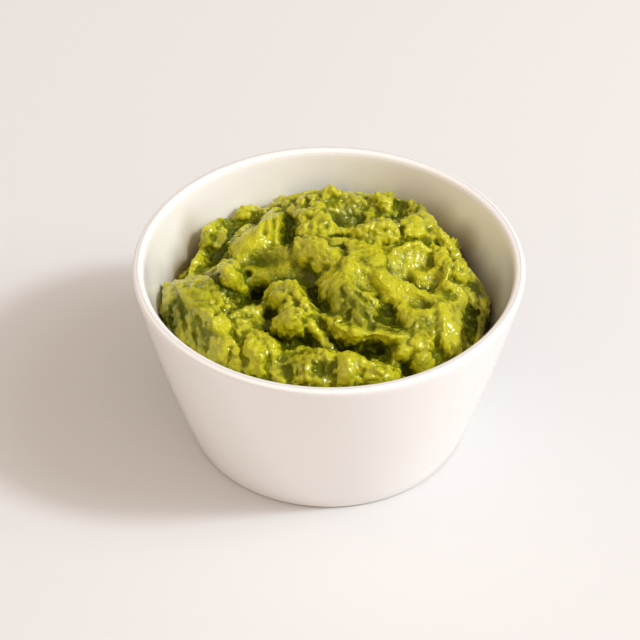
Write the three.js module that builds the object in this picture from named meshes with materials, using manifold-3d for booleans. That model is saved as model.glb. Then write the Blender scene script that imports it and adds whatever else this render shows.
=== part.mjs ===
// A small white dip bowl filled with guacamole.
// Millimetres, +Z up. The origin is the centre of the bowl's foot, on the surface it stands on.
// +X is to the right and -Y to the front of the heap as it is served.
import * as THREE from 'three';
import { ImprovedNoise } from 'three/addons/math/ImprovedNoise.js';
import { mergeVertices } from 'three/addons/utils/BufferGeometryUtils.js';
import Module from 'manifold-3d';

// ---- driving dimensions -------------------------------------------------------------------

const BOWL_DIAMETER = 120;       // over the lip
const BOWL_HEIGHT = 62;
const FOOT_DIAMETER = 86.4;      // over the outside of the foot, where the wall starts
const LIP_THICKNESS = 3.5;
const WALL_BULGE = 0.9;          // how far the wall bows out of a straight cone at mid height
const FLOOR_THICKNESS = 6;
const FLOOR_FILLET = 11;         // inside, between the floor and the wall
const FOOT_EDGE = 0.8;           // rounding under the wall
const FOOT_RING_WIDTH = 4.5;
const FOOT_RECESS = 1.8;
const BOWL_SIDES = 64;
const WALL_STEPS = 6;            // rows of faces up the wall
const WALL_LEAN = 8;             // degrees short of upright where the inside fillet ends

const FOOD_GAP = 0.3;            // between the guacamole and the glaze
const RINGS = 36;                // of the heap's top surface, from the middle out
const SECTORS = 6;               // of each ring
const COLUMN_MARGIN = 1;         // between the heap's column and the outside of the bowl
const SEED = 7;

// ---- the bowl -----------------------------------------------------------------------------

const lipRadius = LIP_THICKNESS / 2;
const outerTop = BOWL_DIAMETER / 2;
const outerFoot = FOOT_DIAMETER / 2;
const bulgeAt = (t) => WALL_BULGE * 4 * t * (1 - t);

/** Outer radius of the wall at height z. */
function outerRadius(z) {
  const t = z / BOWL_HEIGHT;
  return outerFoot + (outerTop - outerFoot) * t + bulgeAt(t);
}

/** Inner radius of the wall at height z, one lip thickness inside the outer one. */
function innerRadius(z) {
  return outerRadius(z) - LIP_THICKNESS;
}

/** Points of an arc in the half plane of the profile, from angle a to angle b in degrees. */
function arc(r, z, radius, a, b, steps) {
  return Array.from({ length: steps + 1 }, (_, i) => {
    const angle = THREE.MathUtils.degToRad(a + (b - a) * i / steps);
    return new THREE.Vector2(r + radius * Math.cos(angle), z + radius * Math.sin(angle));
  });
}

/** The inside of the bowl from the axis up to height top, moved in by gap. */
function insideProfile(top, gap) {
  const wallStart = FLOOR_THICKNESS + FLOOR_FILLET;
  const fillet = FLOOR_FILLET - gap;
  const corner = innerRadius(wallStart) - FLOOR_FILLET;
  const points = [new THREE.Vector2(0, FLOOR_THICKNESS + gap)];
  points.push(...arc(corner, wallStart, fillet, -90, -WALL_LEAN, 6));
  for (let i = 1; i <= WALL_STEPS; i += 1) {
    const z = THREE.MathUtils.lerp(wallStart, top, i / WALL_STEPS);
    points.push(new THREE.Vector2(innerRadius(z) - gap, z));
  }
  return points;
}

/** The whole section of the bowl, from the axis under the floor round to the axis above it. */
function bowlProfile() {
  const lipCentre = BOWL_HEIGHT - lipRadius;
  const ringInner = outerFoot - FOOT_RING_WIDTH;
  const points = [
    new THREE.Vector2(0, FOOT_RECESS),
    new THREE.Vector2(ringInner - FOOT_RECESS, FOOT_RECESS),
    new THREE.Vector2(ringInner, 0),
    ...arc(outerFoot - FOOT_EDGE, FOOT_EDGE, FOOT_EDGE, -90, 0, 3),
  ];
  for (let i = 1; i < WALL_STEPS; i += 1) {
    const z = lipCentre * i / WALL_STEPS;
    points.push(new THREE.Vector2(outerRadius(z), z));
  }
  points.push(...arc(outerTop - lipRadius, lipCentre, lipRadius, 0, 180, 8));
  points.push(...insideProfile(lipCentre, 0).reverse().slice(1));
  return points;
}

// ---- the heap -----------------------------------------------------------------------------
// The top is the upper envelope of folds and lumps that lean on one another over a low bed,
// less the hollows between them, and broken up by soft crumbs. Every height is an absolute z.

const BED = { middle: 52, rim: 45.5, from: 14, to: 46 };   // level of the bed, and where it falls
const CONTACT = [                // level at which the heap meets the wall: [degrees, z]
  [0, 38], [45, 43], [90, 46], [120, 44.5], [150, 43],
  [180, 43], [225, 41], [270, 42], [315, 38], [360, 38],
];
const CONTACT_WANDER = { length: 12, reach: 1.5 };         // how far that level strays
const EDGE = { round: 3.6, slope: 0.3 };                   // how the heap bulges out over the wall
const BLEND = 0.9;               // how far neighbouring forms melt into one another
const LUMP_SKIRT = 3;            // how steeply a lump falls below its equator

// path: crest points [x, y, z]; crest: half width of its rounded top; left and right: how
// steeply its flanks fall on either side, looking along the path.
const FOLDS = [
  { name: 'left bank', crest: 3, left: 0.45, right: 1.6,
    path: [[-49, 8, 50], [-45.5, 2, 52.5], [-43, -7, 53.5], [-38, -13, 53.5], [-35.5, -19, 51]] },
  { name: 'left bank inner edge', crest: 1.5, left: 0.8, right: 0.5,
    path: [[-45, 3, 52], [-36, -5, 53.5], [-30, -14, 52], [-26, -18, 51.5]] },
  { name: 'front bank', crest: 2, left: 1.8, right: 0.8,
    path: [[-17, -31, 48], [-11, -31.5, 52], [-6, -31.5, 54.5], [2, -33, 54.8],
      [10, -36, 54], [18, -38, 51]] },
  { name: 'front curl', crest: 1.1, left: 1.4, right: 2.4,
    path: [[-3.2, -12.6, 55], [-1.1, -17.3, 55], [4.9, -25.1, 55], [13.8, -27.3, 55], [23.4, -27.2, 54]] },
  { name: 'finger', crest: 1.3, left: 2.2, right: 2.2,
    path: [[-6, -15.5, 56.5], [-1.8, -26.5, 55], [-0.1, -29.7, 52.5]] },
  { name: 'brow', crest: 2, left: 2.2, right: 1,
    path: [[-19, -9, 54.5], [-16.8, -5, 56.5], [-11.8, -4.7, 58], [-7.8, -11, 58], [-4.5, -17, 56.5]] },
  { name: 'back left slab', crest: 0.8, left: 3, right: 0.42,
    path: [[-35, 11, 49], [-30.2, 18.9, 54], [-22.3, 27, 56.5], [-17, 31.5, 58.5], [-15, 30, 58]] },
  { name: 'middle crest', crest: 1.2, left: 0.55, right: 0.8,
    path: [[-12.5, 16.5, 56.5], [-7.5, 18, 57.8], [1, 11, 57.5], [8, 4.5, 57.5],
      [18, -0.5, 57], [26, -9, 57.3], [31.7, -14, 57]] },
  { name: 'upper dish rim', crest: 0.9, left: 1.8, right: 1.6,
    path: [[26, 18, 56], [33.5, 14.5, 57.5], [37, 9, 57.8], [37.3, 3.2, 57], [34.5, -0.5, 55.5]] },
  { name: 'lower dish rim', crest: 1, left: 2.4, right: 1,
    path: [[33.9, -1.6, 55], [38.3, -4, 56.3], [41.4, -9.5, 56], [39, -13.5, 54.5], [32, -15, 55]] },
  { name: 'right column', crest: 2.5, left: 2, right: 0.7,
    path: [[36.5, -12, 54.5], [37, -20, 52], [36, -27, 49]] },
  { name: 'right mass', crest: 2.5, left: 1.2, right: 0.5,
    path: [[40, 14, 52.5], [45, 6, 51], [47, -1, 49.5], [46, -9, 46]] },
  { name: 'back rim', crest: 2.5, left: 1, right: 0.8,
    path: [[-17.4, 45.6, 52], [-7.8, 45.2, 54], [0.8, 46.3, 56.5],
      [7.5, 43.3, 54.5], [17.7, 42.5, 54], [27.9, 43.5, 54.5]] },
  { name: 'back right rim', crest: 2.5, left: 1, right: 0.6,
    path: [[27.9, 43.5, 54.5], [31, 36, 54], [34, 27.1, 54], [40, 22, 52], [42, 14, 52]] },
  { name: 'back row', crest: 1.8, left: 0.9, right: 0.8,
    path: [[-12, 31, 55], [-9, 33.3, 55.5], [-1, 30.5, 56], [2.5, 25.5, 55]] },
  { name: 'back middle row', crest: 1.8, left: 0.8, right: 1.1,
    path: [[6, 24, 54.5], [12.7, 26, 56.5], [19.3, 24.1, 57], [26, 27, 57]] },
  { name: 'inner back row', crest: 1.6, left: 0.9, right: 1,
    path: [[-1, 20, 54.5], [7, 18, 55.5], [13, 13, 56], [16, 8, 56]] },
  { name: 'lobe rib', crest: 1, left: 1, right: 1.2,
    path: [[8, -5, 55.5], [8.5, -12, 55.5], [12, -21, 55]] },
];

// at: [x, y]; top: z of its top; size: half widths along and across; turn: degrees.
const LUMPS = [
  { name: 'yellow cube', at: [-32, -21], top: 54.5, size: [3.6, 3], turn: 20 },
  { name: 'front left lump', at: [-25.5, -28], top: 53, size: [10, 7], turn: -30 },
  { name: 'front left step', at: [-18, -25], top: 52, size: [6, 5], turn: -30 },
  { name: 'knob', at: [-10.8, -20.3], top: 57.3, size: [5.2, 4], turn: 25 },
  { name: 'left chunk', at: [-30, 3], top: 56.5, size: [4.6, 6.5], turn: 20 },
  { name: 'middle lobe', at: [3.5, -5], top: 57, size: [8.5, 12], turn: 0 },
  { name: 'back left lump 1', at: [-38.8, 29.9], top: 51, size: [3.5, 5], turn: -20 },
  { name: 'back left lump 2', at: [-36, 36.5], top: 51.5, size: [4, 5], turn: -30 },
  { name: 'back left lump 3', at: [-42, 19], top: 49, size: [4, 4], turn: 0 },
  { name: 'back left lump 4', at: [-25, 45], top: 52.5, size: [4, 3.5], turn: 0 },
  { name: 'back left lump 5', at: [-33, 29], top: 49.5, size: [3, 6], turn: -30 },
  { name: 'front right lump 1', at: [22.6, -29.5], top: 52.5, size: [4, 3.5], turn: 0 },
  { name: 'front right lump 2', at: [28.5, -26.5], top: 55, size: [5, 4.5], turn: 0 },
  { name: 'front right lump 3', at: [27, -33], top: 50, size: [4, 4], turn: 0 },
  { name: 'front right slope', at: [24, -18], top: 55, size: [7, 8], turn: 0 },
  { name: 'back middle lump 1', at: [9, 24], top: 57, size: [4, 3.2], turn: 10 },
  { name: 'back middle lump 2', at: [18.5, 24], top: 58.3, size: [5, 4], turn: -30 },
  { name: 'back middle lump 3', at: [26.5, 29], top: 57.6, size: [4, 4], turn: 0 },
  { name: 'back middle lump 4', at: [24, 20], top: 57, size: [4, 3.4], turn: 0 },
  { name: 'back right lump 1', at: [30, 37], top: 56.3, size: [3.6, 4], turn: 0 },
  { name: 'back right lump 2', at: [36, 25], top: 55.6, size: [3.6, 4], turn: 0 },
  { name: 'back lump 1', at: [19, 41], top: 56, size: [3.6, 4], turn: 0 },
  { name: 'back lump 2', at: [-10, 42], top: 56, size: [4.4, 4], turn: 0 },
  { name: 'back lump 3', at: [-3, 37], top: 55.8, size: [4, 3.4], turn: 0 },
  { name: 'back row lump', at: [-3, 30], top: 57.4, size: [4.4, 3.4], turn: -20 },
];

// path: bottom points [x, y, z]; half: half width at the bottom; steep: slope of the sides.
const HOLLOWS = [
  { name: 'pit', path: [[-25, 1, 43.5], [-19.5, 0, 44]], half: 1.8, steep: 4 },
  { name: 'pit channel', half: 1.8, steep: 1.2,
    path: [[-23, -3, 47.5], [-28, -7, 49], [-34, -9, 51]] },
  { name: 'shade under the brow', half: 1.8, steep: 2,
    path: [[-21, -13, 49], [-17, -14.5, 48.5], [-12.5, -14.5, 50]] },
  { name: 'front crevice', half: 1.2, steep: 4,
    path: [[-2, -30, 47], [5, -30.3, 45.5], [15, -31.5, 46.5]] },
  { name: 'curl valley', path: [[-3.5, -20, 50.5], [1.5, -27, 48]], half: 0.8, steep: 2.5 },
  { name: 'crevice under the knob', half: 1.5, steep: 2.5,
    path: [[-16, -25, 49], [-11, -27, 47], [-5, -28, 46.5]] },
  { name: 'back left valley', half: 1.5, steep: 1.4,
    path: [[-44, 12, 44], [-37, 20, 43], [-29, 33, 44], [-20, 42, 46], [-14, 38, 49]] },
  { name: 'slab recess', path: [[-12, 29, 52], [-13, 20, 51]], half: 1, steep: 2 },
  { name: 'back cavity', half: 1.6, steep: 1.9,
    path: [[4, 33, 50], [10, 33.5, 48.5], [15, 36, 50]] },
  { name: 'lobe valley', half: 0.8, steep: 2.2,
    path: [[-5.5, 4, 51], [-5.6, -3, 49], [-4, -8, 49], [-0.4, -13.5, 50], [4, -19, 52.5]] },
  { name: 'upper dish', path: [[21, 10, 56], [31, 9.5, 55.4]], half: 5.5, steep: 0.4 },
  { name: 'dish step', path: [[13, 12, 53], [17, 15, 53]], half: 0.8, steep: 2 },
  { name: 'lower dish', path: [[30.5, -5, 53], [37.5, -7.5, 52.3]], half: 1.8, steep: 1.5 },
  { name: 'rib hollow', half: 1.5, steep: 1.2,
    path: [[15, -6, 52.5], [17, -15, 51], [20, -20, 51]] },
  { name: 'right crease', half: 0.6, steep: 2.5,
    path: [[42.5, 0, 48], [43.5, -10, 46], [42, -20, 43]] },
];

// Crumbs: wavelength and depth of each layer of rounded crumbs with sharp creases.
const CRUMBS = [{ length: 9, depth: 1.1 }, { length: 5, depth: 0.9 }];
const CRUMB_SHAPE = { gain: 2.6, level: 0.55 };  // brings |noise| to about -0.5..0.5, mean 0
const WARP = { length: 7, reach: 2.6 };          // how far outlines wander sideways
const LAYER = { warpX: 3, warpY: 4, contact: 5 };          // noise layers after those of the crumbs
const LAYER_STEP = 5.1;
const NOISE_START = [31.7, 17.3];

const noise = new ImprovedNoise();

function smoothMax(a, b, k) {
  const h = Math.max(k - Math.abs(a - b), 0) / k;
  return Math.max(a, b) + h * h * k / 4;
}

const smoothMin = (a, b, k) => -smoothMax(-a, -b, k);

/** Nearest place on a path: its distance, its z, and on which side of the path (x, y) lies. */
function nearest(path, x, y) {
  let best = { distance: Infinity };
  for (let i = 0; i + 1 < path.length; i += 1) {
    const [ax, ay, az] = path[i];
    const [bx, by, bz] = path[i + 1];
    const dx = bx - ax;
    const dy = by - ay;
    const t = THREE.MathUtils.clamp(((x - ax) * dx + (y - ay) * dy) / (dx * dx + dy * dy), 0, 1);
    const distance = Math.hypot(x - ax - dx * t, y - ay - dy * t);
    if (distance < best.distance) {
      best = { distance, z: az + (bz - az) * t, side: dx * (y - ay) - dy * (x - ax) };
    }
  }
  return best;
}

function foldHeight(fold, x, y) {
  const { distance, z, side } = nearest(fold.path, x, y);
  const slope = side > 0 ? fold.left : fold.right;
  return z - slope * (Math.hypot(distance, fold.crest) - fold.crest);
}

function lumpHeight(lump, x, y) {
  const angle = THREE.MathUtils.degToRad(lump.turn);
  const dx = x - lump.at[0];
  const dy = y - lump.at[1];
  const along = (dx * Math.cos(angle) + dy * Math.sin(angle)) / lump.size[0];
  const across = (dy * Math.cos(angle) - dx * Math.sin(angle)) / lump.size[1];
  const q = Math.hypot(along, across);
  const height = Math.min(...lump.size);
  if (q < 1) return lump.top - height * (1 - Math.sqrt(1 - q * q));
  return lump.top - height * (1 + LUMP_SKIRT * (q - 1));
}

function hollowHeight(hollow, x, y) {
  const { distance, z } = nearest(hollow.path, x, y);
  return z + hollow.steep * (Math.hypot(distance, hollow.half) - hollow.half);
}

function contactLevel(x, y) {
  const degrees = (THREE.MathUtils.radToDeg(Math.atan2(y, x)) + 360) % 360;
  const i = CONTACT.findIndex(([a]) => a > degrees);
  const [a, za] = CONTACT[i - 1];
  const [b, zb] = CONTACT[i];
  return THREE.MathUtils.lerp(za, zb, THREE.MathUtils.smoothstep(degrees, a, b));
}

function wobble(x, y, length, layer) {
  const [startX, startY] = NOISE_START;
  return noise.noise(x / length + startX, y / length + startY, layer * LAYER_STEP + SEED);
}

function crumbs(x, y) {
  const { gain, level } = CRUMB_SHAPE;
  return CRUMBS.reduce((sum, { length, depth }, layer) => (
    sum + depth * (gain * Math.abs(wobble(x, y, length, layer)) - level)), 0);
}

/** Level of the heap's surface over (x, y). */
function heapHeight(x, y) {
  const wx = x + WARP.reach * wobble(x, y, WARP.length, LAYER.warpX);
  const wy = y + WARP.reach * wobble(x, y, WARP.length, LAYER.warpY);
  const outward = THREE.MathUtils.smoothstep(Math.hypot(x, y), BED.from, BED.to);
  let z = THREE.MathUtils.lerp(BED.middle, BED.rim, outward);
  for (const fold of FOLDS) z = smoothMax(z, foldHeight(fold, wx, wy), BLEND);
  for (const lump of LUMPS) z = smoothMax(z, lumpHeight(lump, wx, wy), BLEND);
  for (const hollow of HOLLOWS) z = smoothMin(z, hollowHeight(hollow, wx, wy), BLEND);
  z += crumbs(x, y);
  const stray = CONTACT_WANDER.reach * wobble(x, y, CONTACT_WANDER.length, LAYER.contact);
  const contact = contactLevel(x, y) + stray;
  const inset = innerRadius(contact) - Math.hypot(x, y);
  const edge = contact + EDGE.round * Math.sqrt(Math.max(inset, 0)) + EDGE.slope * inset;
  return smoothMin(z, edge, BLEND);
}

/** A closed column with the heap's surface on top and a flat bottom: rings of 6, 12, 18 ... points. */
function heapColumn(radius, bottom) {
  const positions = [];
  const rows = [];
  for (let ring = 0; ring <= RINGS; ring += 1) {
    const count = Math.max(SECTORS * ring, 1);
    rows.push(Array.from({ length: count }, (_, i) => {
      const angle = 2 * Math.PI * i / count;
      const r = radius * ring / RINGS;
      const x = r * Math.cos(angle);
      const y = r * Math.sin(angle);
      positions.push(x, y, heapHeight(x, y));
      return positions.length / 3 - 1;
    }));
  }
  const triangles = [];
  const at = (row, i) => row[i % row.length];
  for (let ring = 1; ring <= RINGS; ring += 1) {
    const inner = rows[ring - 1];
    const outer = rows[ring];
    for (let sector = 0; sector < SECTORS; sector += 1) {
      for (let i = 0; i < ring; i += 1) {
        const o = sector * ring + i;
        const n = sector * (ring - 1) + i;
        triangles.push(at(inner, n), at(outer, o), at(outer, o + 1));
        if (i + 1 < ring) triangles.push(at(inner, n), at(outer, o + 1), at(inner, n + 1));
      }
    }
  }
  const rim = rows[RINGS];
  const low = rim.map((index) => {
    positions.push(positions[3 * index], positions[3 * index + 1], bottom);
    return positions.length / 3 - 1;
  });
  positions.push(0, 0, bottom);
  const centre = positions.length / 3 - 1;
  rim.forEach((_, i) => {
    triangles.push(at(rim, i), at(low, i), at(low, i + 1));
    triangles.push(at(rim, i), at(low, i + 1), at(rim, i + 1));
    triangles.push(centre, at(low, i + 1), at(low, i));
  });
  const geometry = new THREE.BufferGeometry();
  geometry.setAttribute('position', new THREE.Float32BufferAttribute(positions, 3));
  geometry.setIndex(triangles);
  return geometry;
}

/** The room inside the bowl that food can fill. */
function cavity() {
  const profile = insideProfile(BOWL_HEIGHT, FOOD_GAP);
  profile.push(new THREE.Vector2(0, BOWL_HEIGHT));
  return new THREE.LatheGeometry(profile, BOWL_SIDES);
}

// ---- joining and cutting ------------------------------------------------------------------

const wasm = await Module();
wasm.setup();

function toSolid(geometry) {
  const bare = geometry.clone();
  bare.deleteAttribute('normal');
  bare.deleteAttribute('uv');
  const merged = mergeVertices(bare);
  return new wasm.Manifold(new wasm.Mesh({
    numProp: 3,
    vertProperties: new Float32Array(merged.attributes.position.array),
    triVerts: new Uint32Array(merged.index.array),
  }));
}

function toGeometry(solid) {
  const mesh = solid.getMesh();
  const geometry = new THREE.BufferGeometry();
  geometry.setAttribute('position', new THREE.BufferAttribute(mesh.vertProperties, 3));
  geometry.setIndex(new THREE.BufferAttribute(mesh.triVerts, 1));
  geometry.computeVertexNormals();
  return geometry;
}

// ---- materials and assembly ---------------------------------------------------------------

const glaze = new THREE.MeshStandardMaterial({ color: 0xf6f4f0, roughness: 0.15, metalness: 0 });
const mash = new THREE.MeshStandardMaterial({ color: 0xa0ac2e, roughness: 0.4, metalness: 0 });

const bowl = new THREE.Mesh(new THREE.LatheGeometry(bowlProfile(), BOWL_SIDES), glaze);
bowl.name = 'bowl';
bowl.geometry.rotateX(Math.PI / 2);

const room = cavity();
room.rotateX(Math.PI / 2);
const column = heapColumn(outerTop - COLUMN_MARGIN, COLUMN_MARGIN);
const heap = toSolid(column).intersect(toSolid(room));
const guacamole = new THREE.Mesh(toGeometry(heap), mash);
guacamole.name = 'guacamole';

const part = new THREE.Group();
part.add(bowl, guacamole);

export default part;
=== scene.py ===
"""Bowl of guacamole: a small white glazed dip bowl, filled with a rough heap of mashed avocado.

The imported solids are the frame. The bowl is turned again with a fine glaze, and the heap is worked
up from its solid: remeshed, moved onto a relief of patches, ledges, grooves, ridges and lumps, and
broken up into folds and crumbs.
"""

import math

import bmesh
import bpy
import numpy as np
from bpy.props import FloatProperty, FloatVectorProperty, IntProperty, PointerProperty
from mathutils import Euler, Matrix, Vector
from mathutils.bvhtree import BVHTree


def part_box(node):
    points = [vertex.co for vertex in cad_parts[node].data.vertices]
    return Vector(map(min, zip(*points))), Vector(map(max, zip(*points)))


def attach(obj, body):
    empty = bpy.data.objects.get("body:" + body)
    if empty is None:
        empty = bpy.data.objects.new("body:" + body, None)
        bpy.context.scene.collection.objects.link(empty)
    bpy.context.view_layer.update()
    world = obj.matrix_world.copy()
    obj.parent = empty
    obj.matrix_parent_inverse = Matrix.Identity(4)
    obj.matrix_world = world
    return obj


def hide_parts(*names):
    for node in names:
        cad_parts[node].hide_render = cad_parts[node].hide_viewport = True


bl_info = {
    "name": "Bowl of Guacamole",
    "version": (1, 0, 0),
    "blender": (4, 5, 0),
    "location": "View3D > Sidebar > Guacamole",
    "description": "A white dip bowl heaped with guacamole",
    "category": "Add Mesh",
}

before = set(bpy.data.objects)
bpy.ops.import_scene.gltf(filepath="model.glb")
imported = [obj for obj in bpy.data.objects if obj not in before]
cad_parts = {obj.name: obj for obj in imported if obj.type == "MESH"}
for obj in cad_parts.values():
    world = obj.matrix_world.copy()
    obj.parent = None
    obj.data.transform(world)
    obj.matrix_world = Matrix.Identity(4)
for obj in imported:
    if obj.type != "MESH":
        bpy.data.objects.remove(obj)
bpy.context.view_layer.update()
BOWL_LOW, BOWL_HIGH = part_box("bowl")
HEAP_LOW, HEAP_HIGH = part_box("guacamole")

MM = 0.001
PICTURE_SIZE = 640                      # the frame is square, this many pixels a side


# ---- settings -------------------------------------------------------------------------------


class BowlSettings(bpy.types.PropertyGroup):
    """Sizes and colours of the bowl."""
    radius: FloatProperty(name="Radius", description="Over the lip", unit="LENGTH",
                          default=BOWL_HIGH.x)
    height: FloatProperty(name="Height", description="From the table to the lip", unit="LENGTH",
                          default=BOWL_HIGH.z)
    foot_radius: FloatProperty(name="Foot radius", description="Where the wall starts",
                               unit="LENGTH", default=43.2 * MM)
    lip: FloatProperty(name="Lip", description="Thickness of the wall and its lip", unit="LENGTH",
                       default=3.5 * MM)
    bulge: FloatProperty(name="Bulge", description="How far the wall bows out at mid height",
                         unit="LENGTH", default=0.9 * MM)
    floor: FloatProperty(name="Floor", description="Thickness of the floor", unit="LENGTH",
                         default=6 * MM)
    fillet: FloatProperty(name="Fillet", description="Inside, between the floor and the wall",
                          unit="LENGTH", default=11 * MM)
    ring: FloatProperty(name="Foot ring", description="Width of the ring it stands on",
                        unit="LENGTH", default=4.5 * MM)
    recess: FloatProperty(name="Recess", description="Depth of the hollow under the foot",
                          unit="LENGTH", default=1.8 * MM)
    sides: IntProperty(name="Sides", description="Faces round the bowl", default=384)
    glaze: FloatVectorProperty(name="Glaze", description="Colour of the glaze", subtype="COLOR",
                               default=(0.86, 0.838, 0.82))
    clay: FloatVectorProperty(name="Clay", description="Bare clay under the foot ring",
                              subtype="COLOR", default=(0.62, 0.55, 0.46))
    # painted shadow: the brown the glaze is darkened to on the wall beside the heap
    painted_wall_shade: FloatVectorProperty(name="Wall_shade", description="Glaze under a film of brown juice",
                               subtype="COLOR", default=(0.30, 0.22, 0.09))


class HeapSettings(bpy.types.PropertyGroup):
    """Sizes and colours of the heap."""
    grain: FloatProperty(name="Grain", description="Size of the finest faces", unit="LENGTH",
                         default=0.42 * MM)
    # paler mash, laid on crests as painted light and also at random
    bright: FloatVectorProperty(name="Bright", description="Ripe yellow-green mash",
                                subtype="COLOR", default=(0.51, 0.487, 0.012))
    middle: FloatVectorProperty(name="Middle", description="Most of the mash", subtype="COLOR",
                                default=(0.185, 0.200, 0.003))
    # painted shade: the darker green laid into folds and hollows, where shade falls
    painted_fold_shade: FloatVectorProperty(name="Deep", description="Darker green mash in the folds",
                              subtype="COLOR", default=(0.055, 0.068, 0.0005))


class StageSettings(bpy.types.PropertyGroup):
    """Camera, lights and floor."""
    lens: FloatProperty(name="Lens", description="Focal length", default=150.8)
    sensor: FloatProperty(name="Sensor", description="Sensor width", default=36.0)
    place: FloatVectorProperty(name="Camera", description="Place of the camera", subtype="XYZ",
                               default=(0.0, -0.63376, 0.57354))
    tilt: FloatProperty(name="Tilt", description="From straight down", default=49.845)
    turn: FloatProperty(name="Turn", description="To the left", default=0.241)
    roll: FloatProperty(name="Roll", description="About the line of sight", default=0.204)


SETTINGS = {"guacamole_bowl": BowlSettings, "guacamole_heap": HeapSettings,
            "guacamole_stage": StageSettings}


# ---- shaders --------------------------------------------------------------------------------


class Socket:
    """A node output that can be used in a Python expression: each operator adds a Math node."""

    def __init__(self, shader, out):
        self.shader = shader
        self.out = out

    def _math(self, operation, *values):
        return self.shader.add("ShaderNodeMath", {"operation": operation}, *values)

    def __add__(self, other):
        return self._math("ADD", self, other)

    def __sub__(self, other):
        return self._math("SUBTRACT", self, other)

    def __rsub__(self, other):
        return self._math("SUBTRACT", other, self)

    def __mul__(self, other):
        return self._math("MULTIPLY", self, other)

    __radd__ = __add__
    __rmul__ = __mul__

    def band(self, low, high):
        """0 below low, 1 above high, and a smooth step between them."""
        settings = {"interpolation_type": "SMOOTHSTEP"}
        return self.shader.add("ShaderNodeMapRange", settings, self, low, high, 0.0, 1.0)


class Shader:
    """The nodes of one material, or of the world."""

    def __init__(self, owner):
        self.owner = owner
        owner.use_nodes = True
        self.tree = owner.node_tree

    def add(self, kind, settings=None, *values, out=0, **named):
        """Adds a node, sets it, links or sets its sockets, and gives back one output."""
        node = self.tree.nodes.new(kind)
        for key, value in (settings or {}).items():
            setattr(node, key, value)
        for index, value in list(enumerate(values)) + list(named.items()):
            if value is not None:
                self.put(node.inputs[index], value)
        return Socket(self, node.outputs[out])

    def put(self, socket, value):
        if isinstance(value, Socket):
            self.tree.links.new(value.out, socket)
        else:
            socket.default_value = value

    def finish(self, node, **sockets):
        """Sets or links sockets of the last node, named with _ for a space."""
        for name, value in sockets.items():
            self.put(self.tree.nodes[node].inputs[name.replace("_", " ")], value)
        return self.owner

    def place(self):
        return self.add("ShaderNodeTexCoord", out=3)

    def noise(self, vector, scale, detail=2.0, roughness=0.5, distortion=0.0):
        return self.add("ShaderNodeTexNoise", None, Vector=vector, Scale=scale, Detail=detail,
                        Roughness=roughness, Distortion=distortion)

    def attribute(self, name):
        return self.add("ShaderNodeAttribute", {"attribute_name": name}, out=2)

    def mix(self, factor, a, b):
        """A colour between a and b, which are the node's inputs 6 and 7."""
        return self.add("ShaderNodeMix", {"data_type": "RGBA"}, factor, *[None] * 5, a, b, out=2)

    def bump(self, height, strength, distance):
        return self.add("ShaderNodeBump", None, Strength=strength, Distance=distance, Height=height)


def rgba(colour):
    return (*colour, 1.0)


def glaze_material(bowl):
    """Clear white glaze, faintly uneven, with painted shadow beside the heap, and bare clay on the
    foot ring.
    """
    shader = Shader(bpy.data.materials.new("glaze"))
    where = shader.place()
    height = shader.add("ShaderNodeSeparateXYZ", None, where, out=2)
    bare = 1 - height.band(0.2 * MM, 0.6 * MM)
    clouds = shader.noise(where, 28.0, detail=3.0)
    glaze = shader.mix(clouds * 0.35, rgba(bowl.glaze), rgba([c * 0.96 for c in bowl.glaze]))
    # painted shadow: the glaze darkens toward brown where the heap's shade falls on the wall
    glaze = shader.mix(shader.attribute("painted_shadow"), glaze, rgba(bowl.painted_wall_shade))
    waves = shader.noise(where, 60.0, detail=1.0)
    grit = shader.noise(where, 2600.0, detail=2.0)
    normal = shader.bump(waves + grit * bare * 0.4, 0.12, 1.2 * MM)
    return shader.finish(
        "Principled BSDF", Base_Color=shader.mix(bare, glaze, rgba(bowl.clay)),
        Roughness=0.16 + 0.5 * bare + clouds * 0.05,
        Coat_Weight=0.35, Coat_Roughness=0.05, IOR=1.5, Normal=normal)


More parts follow.
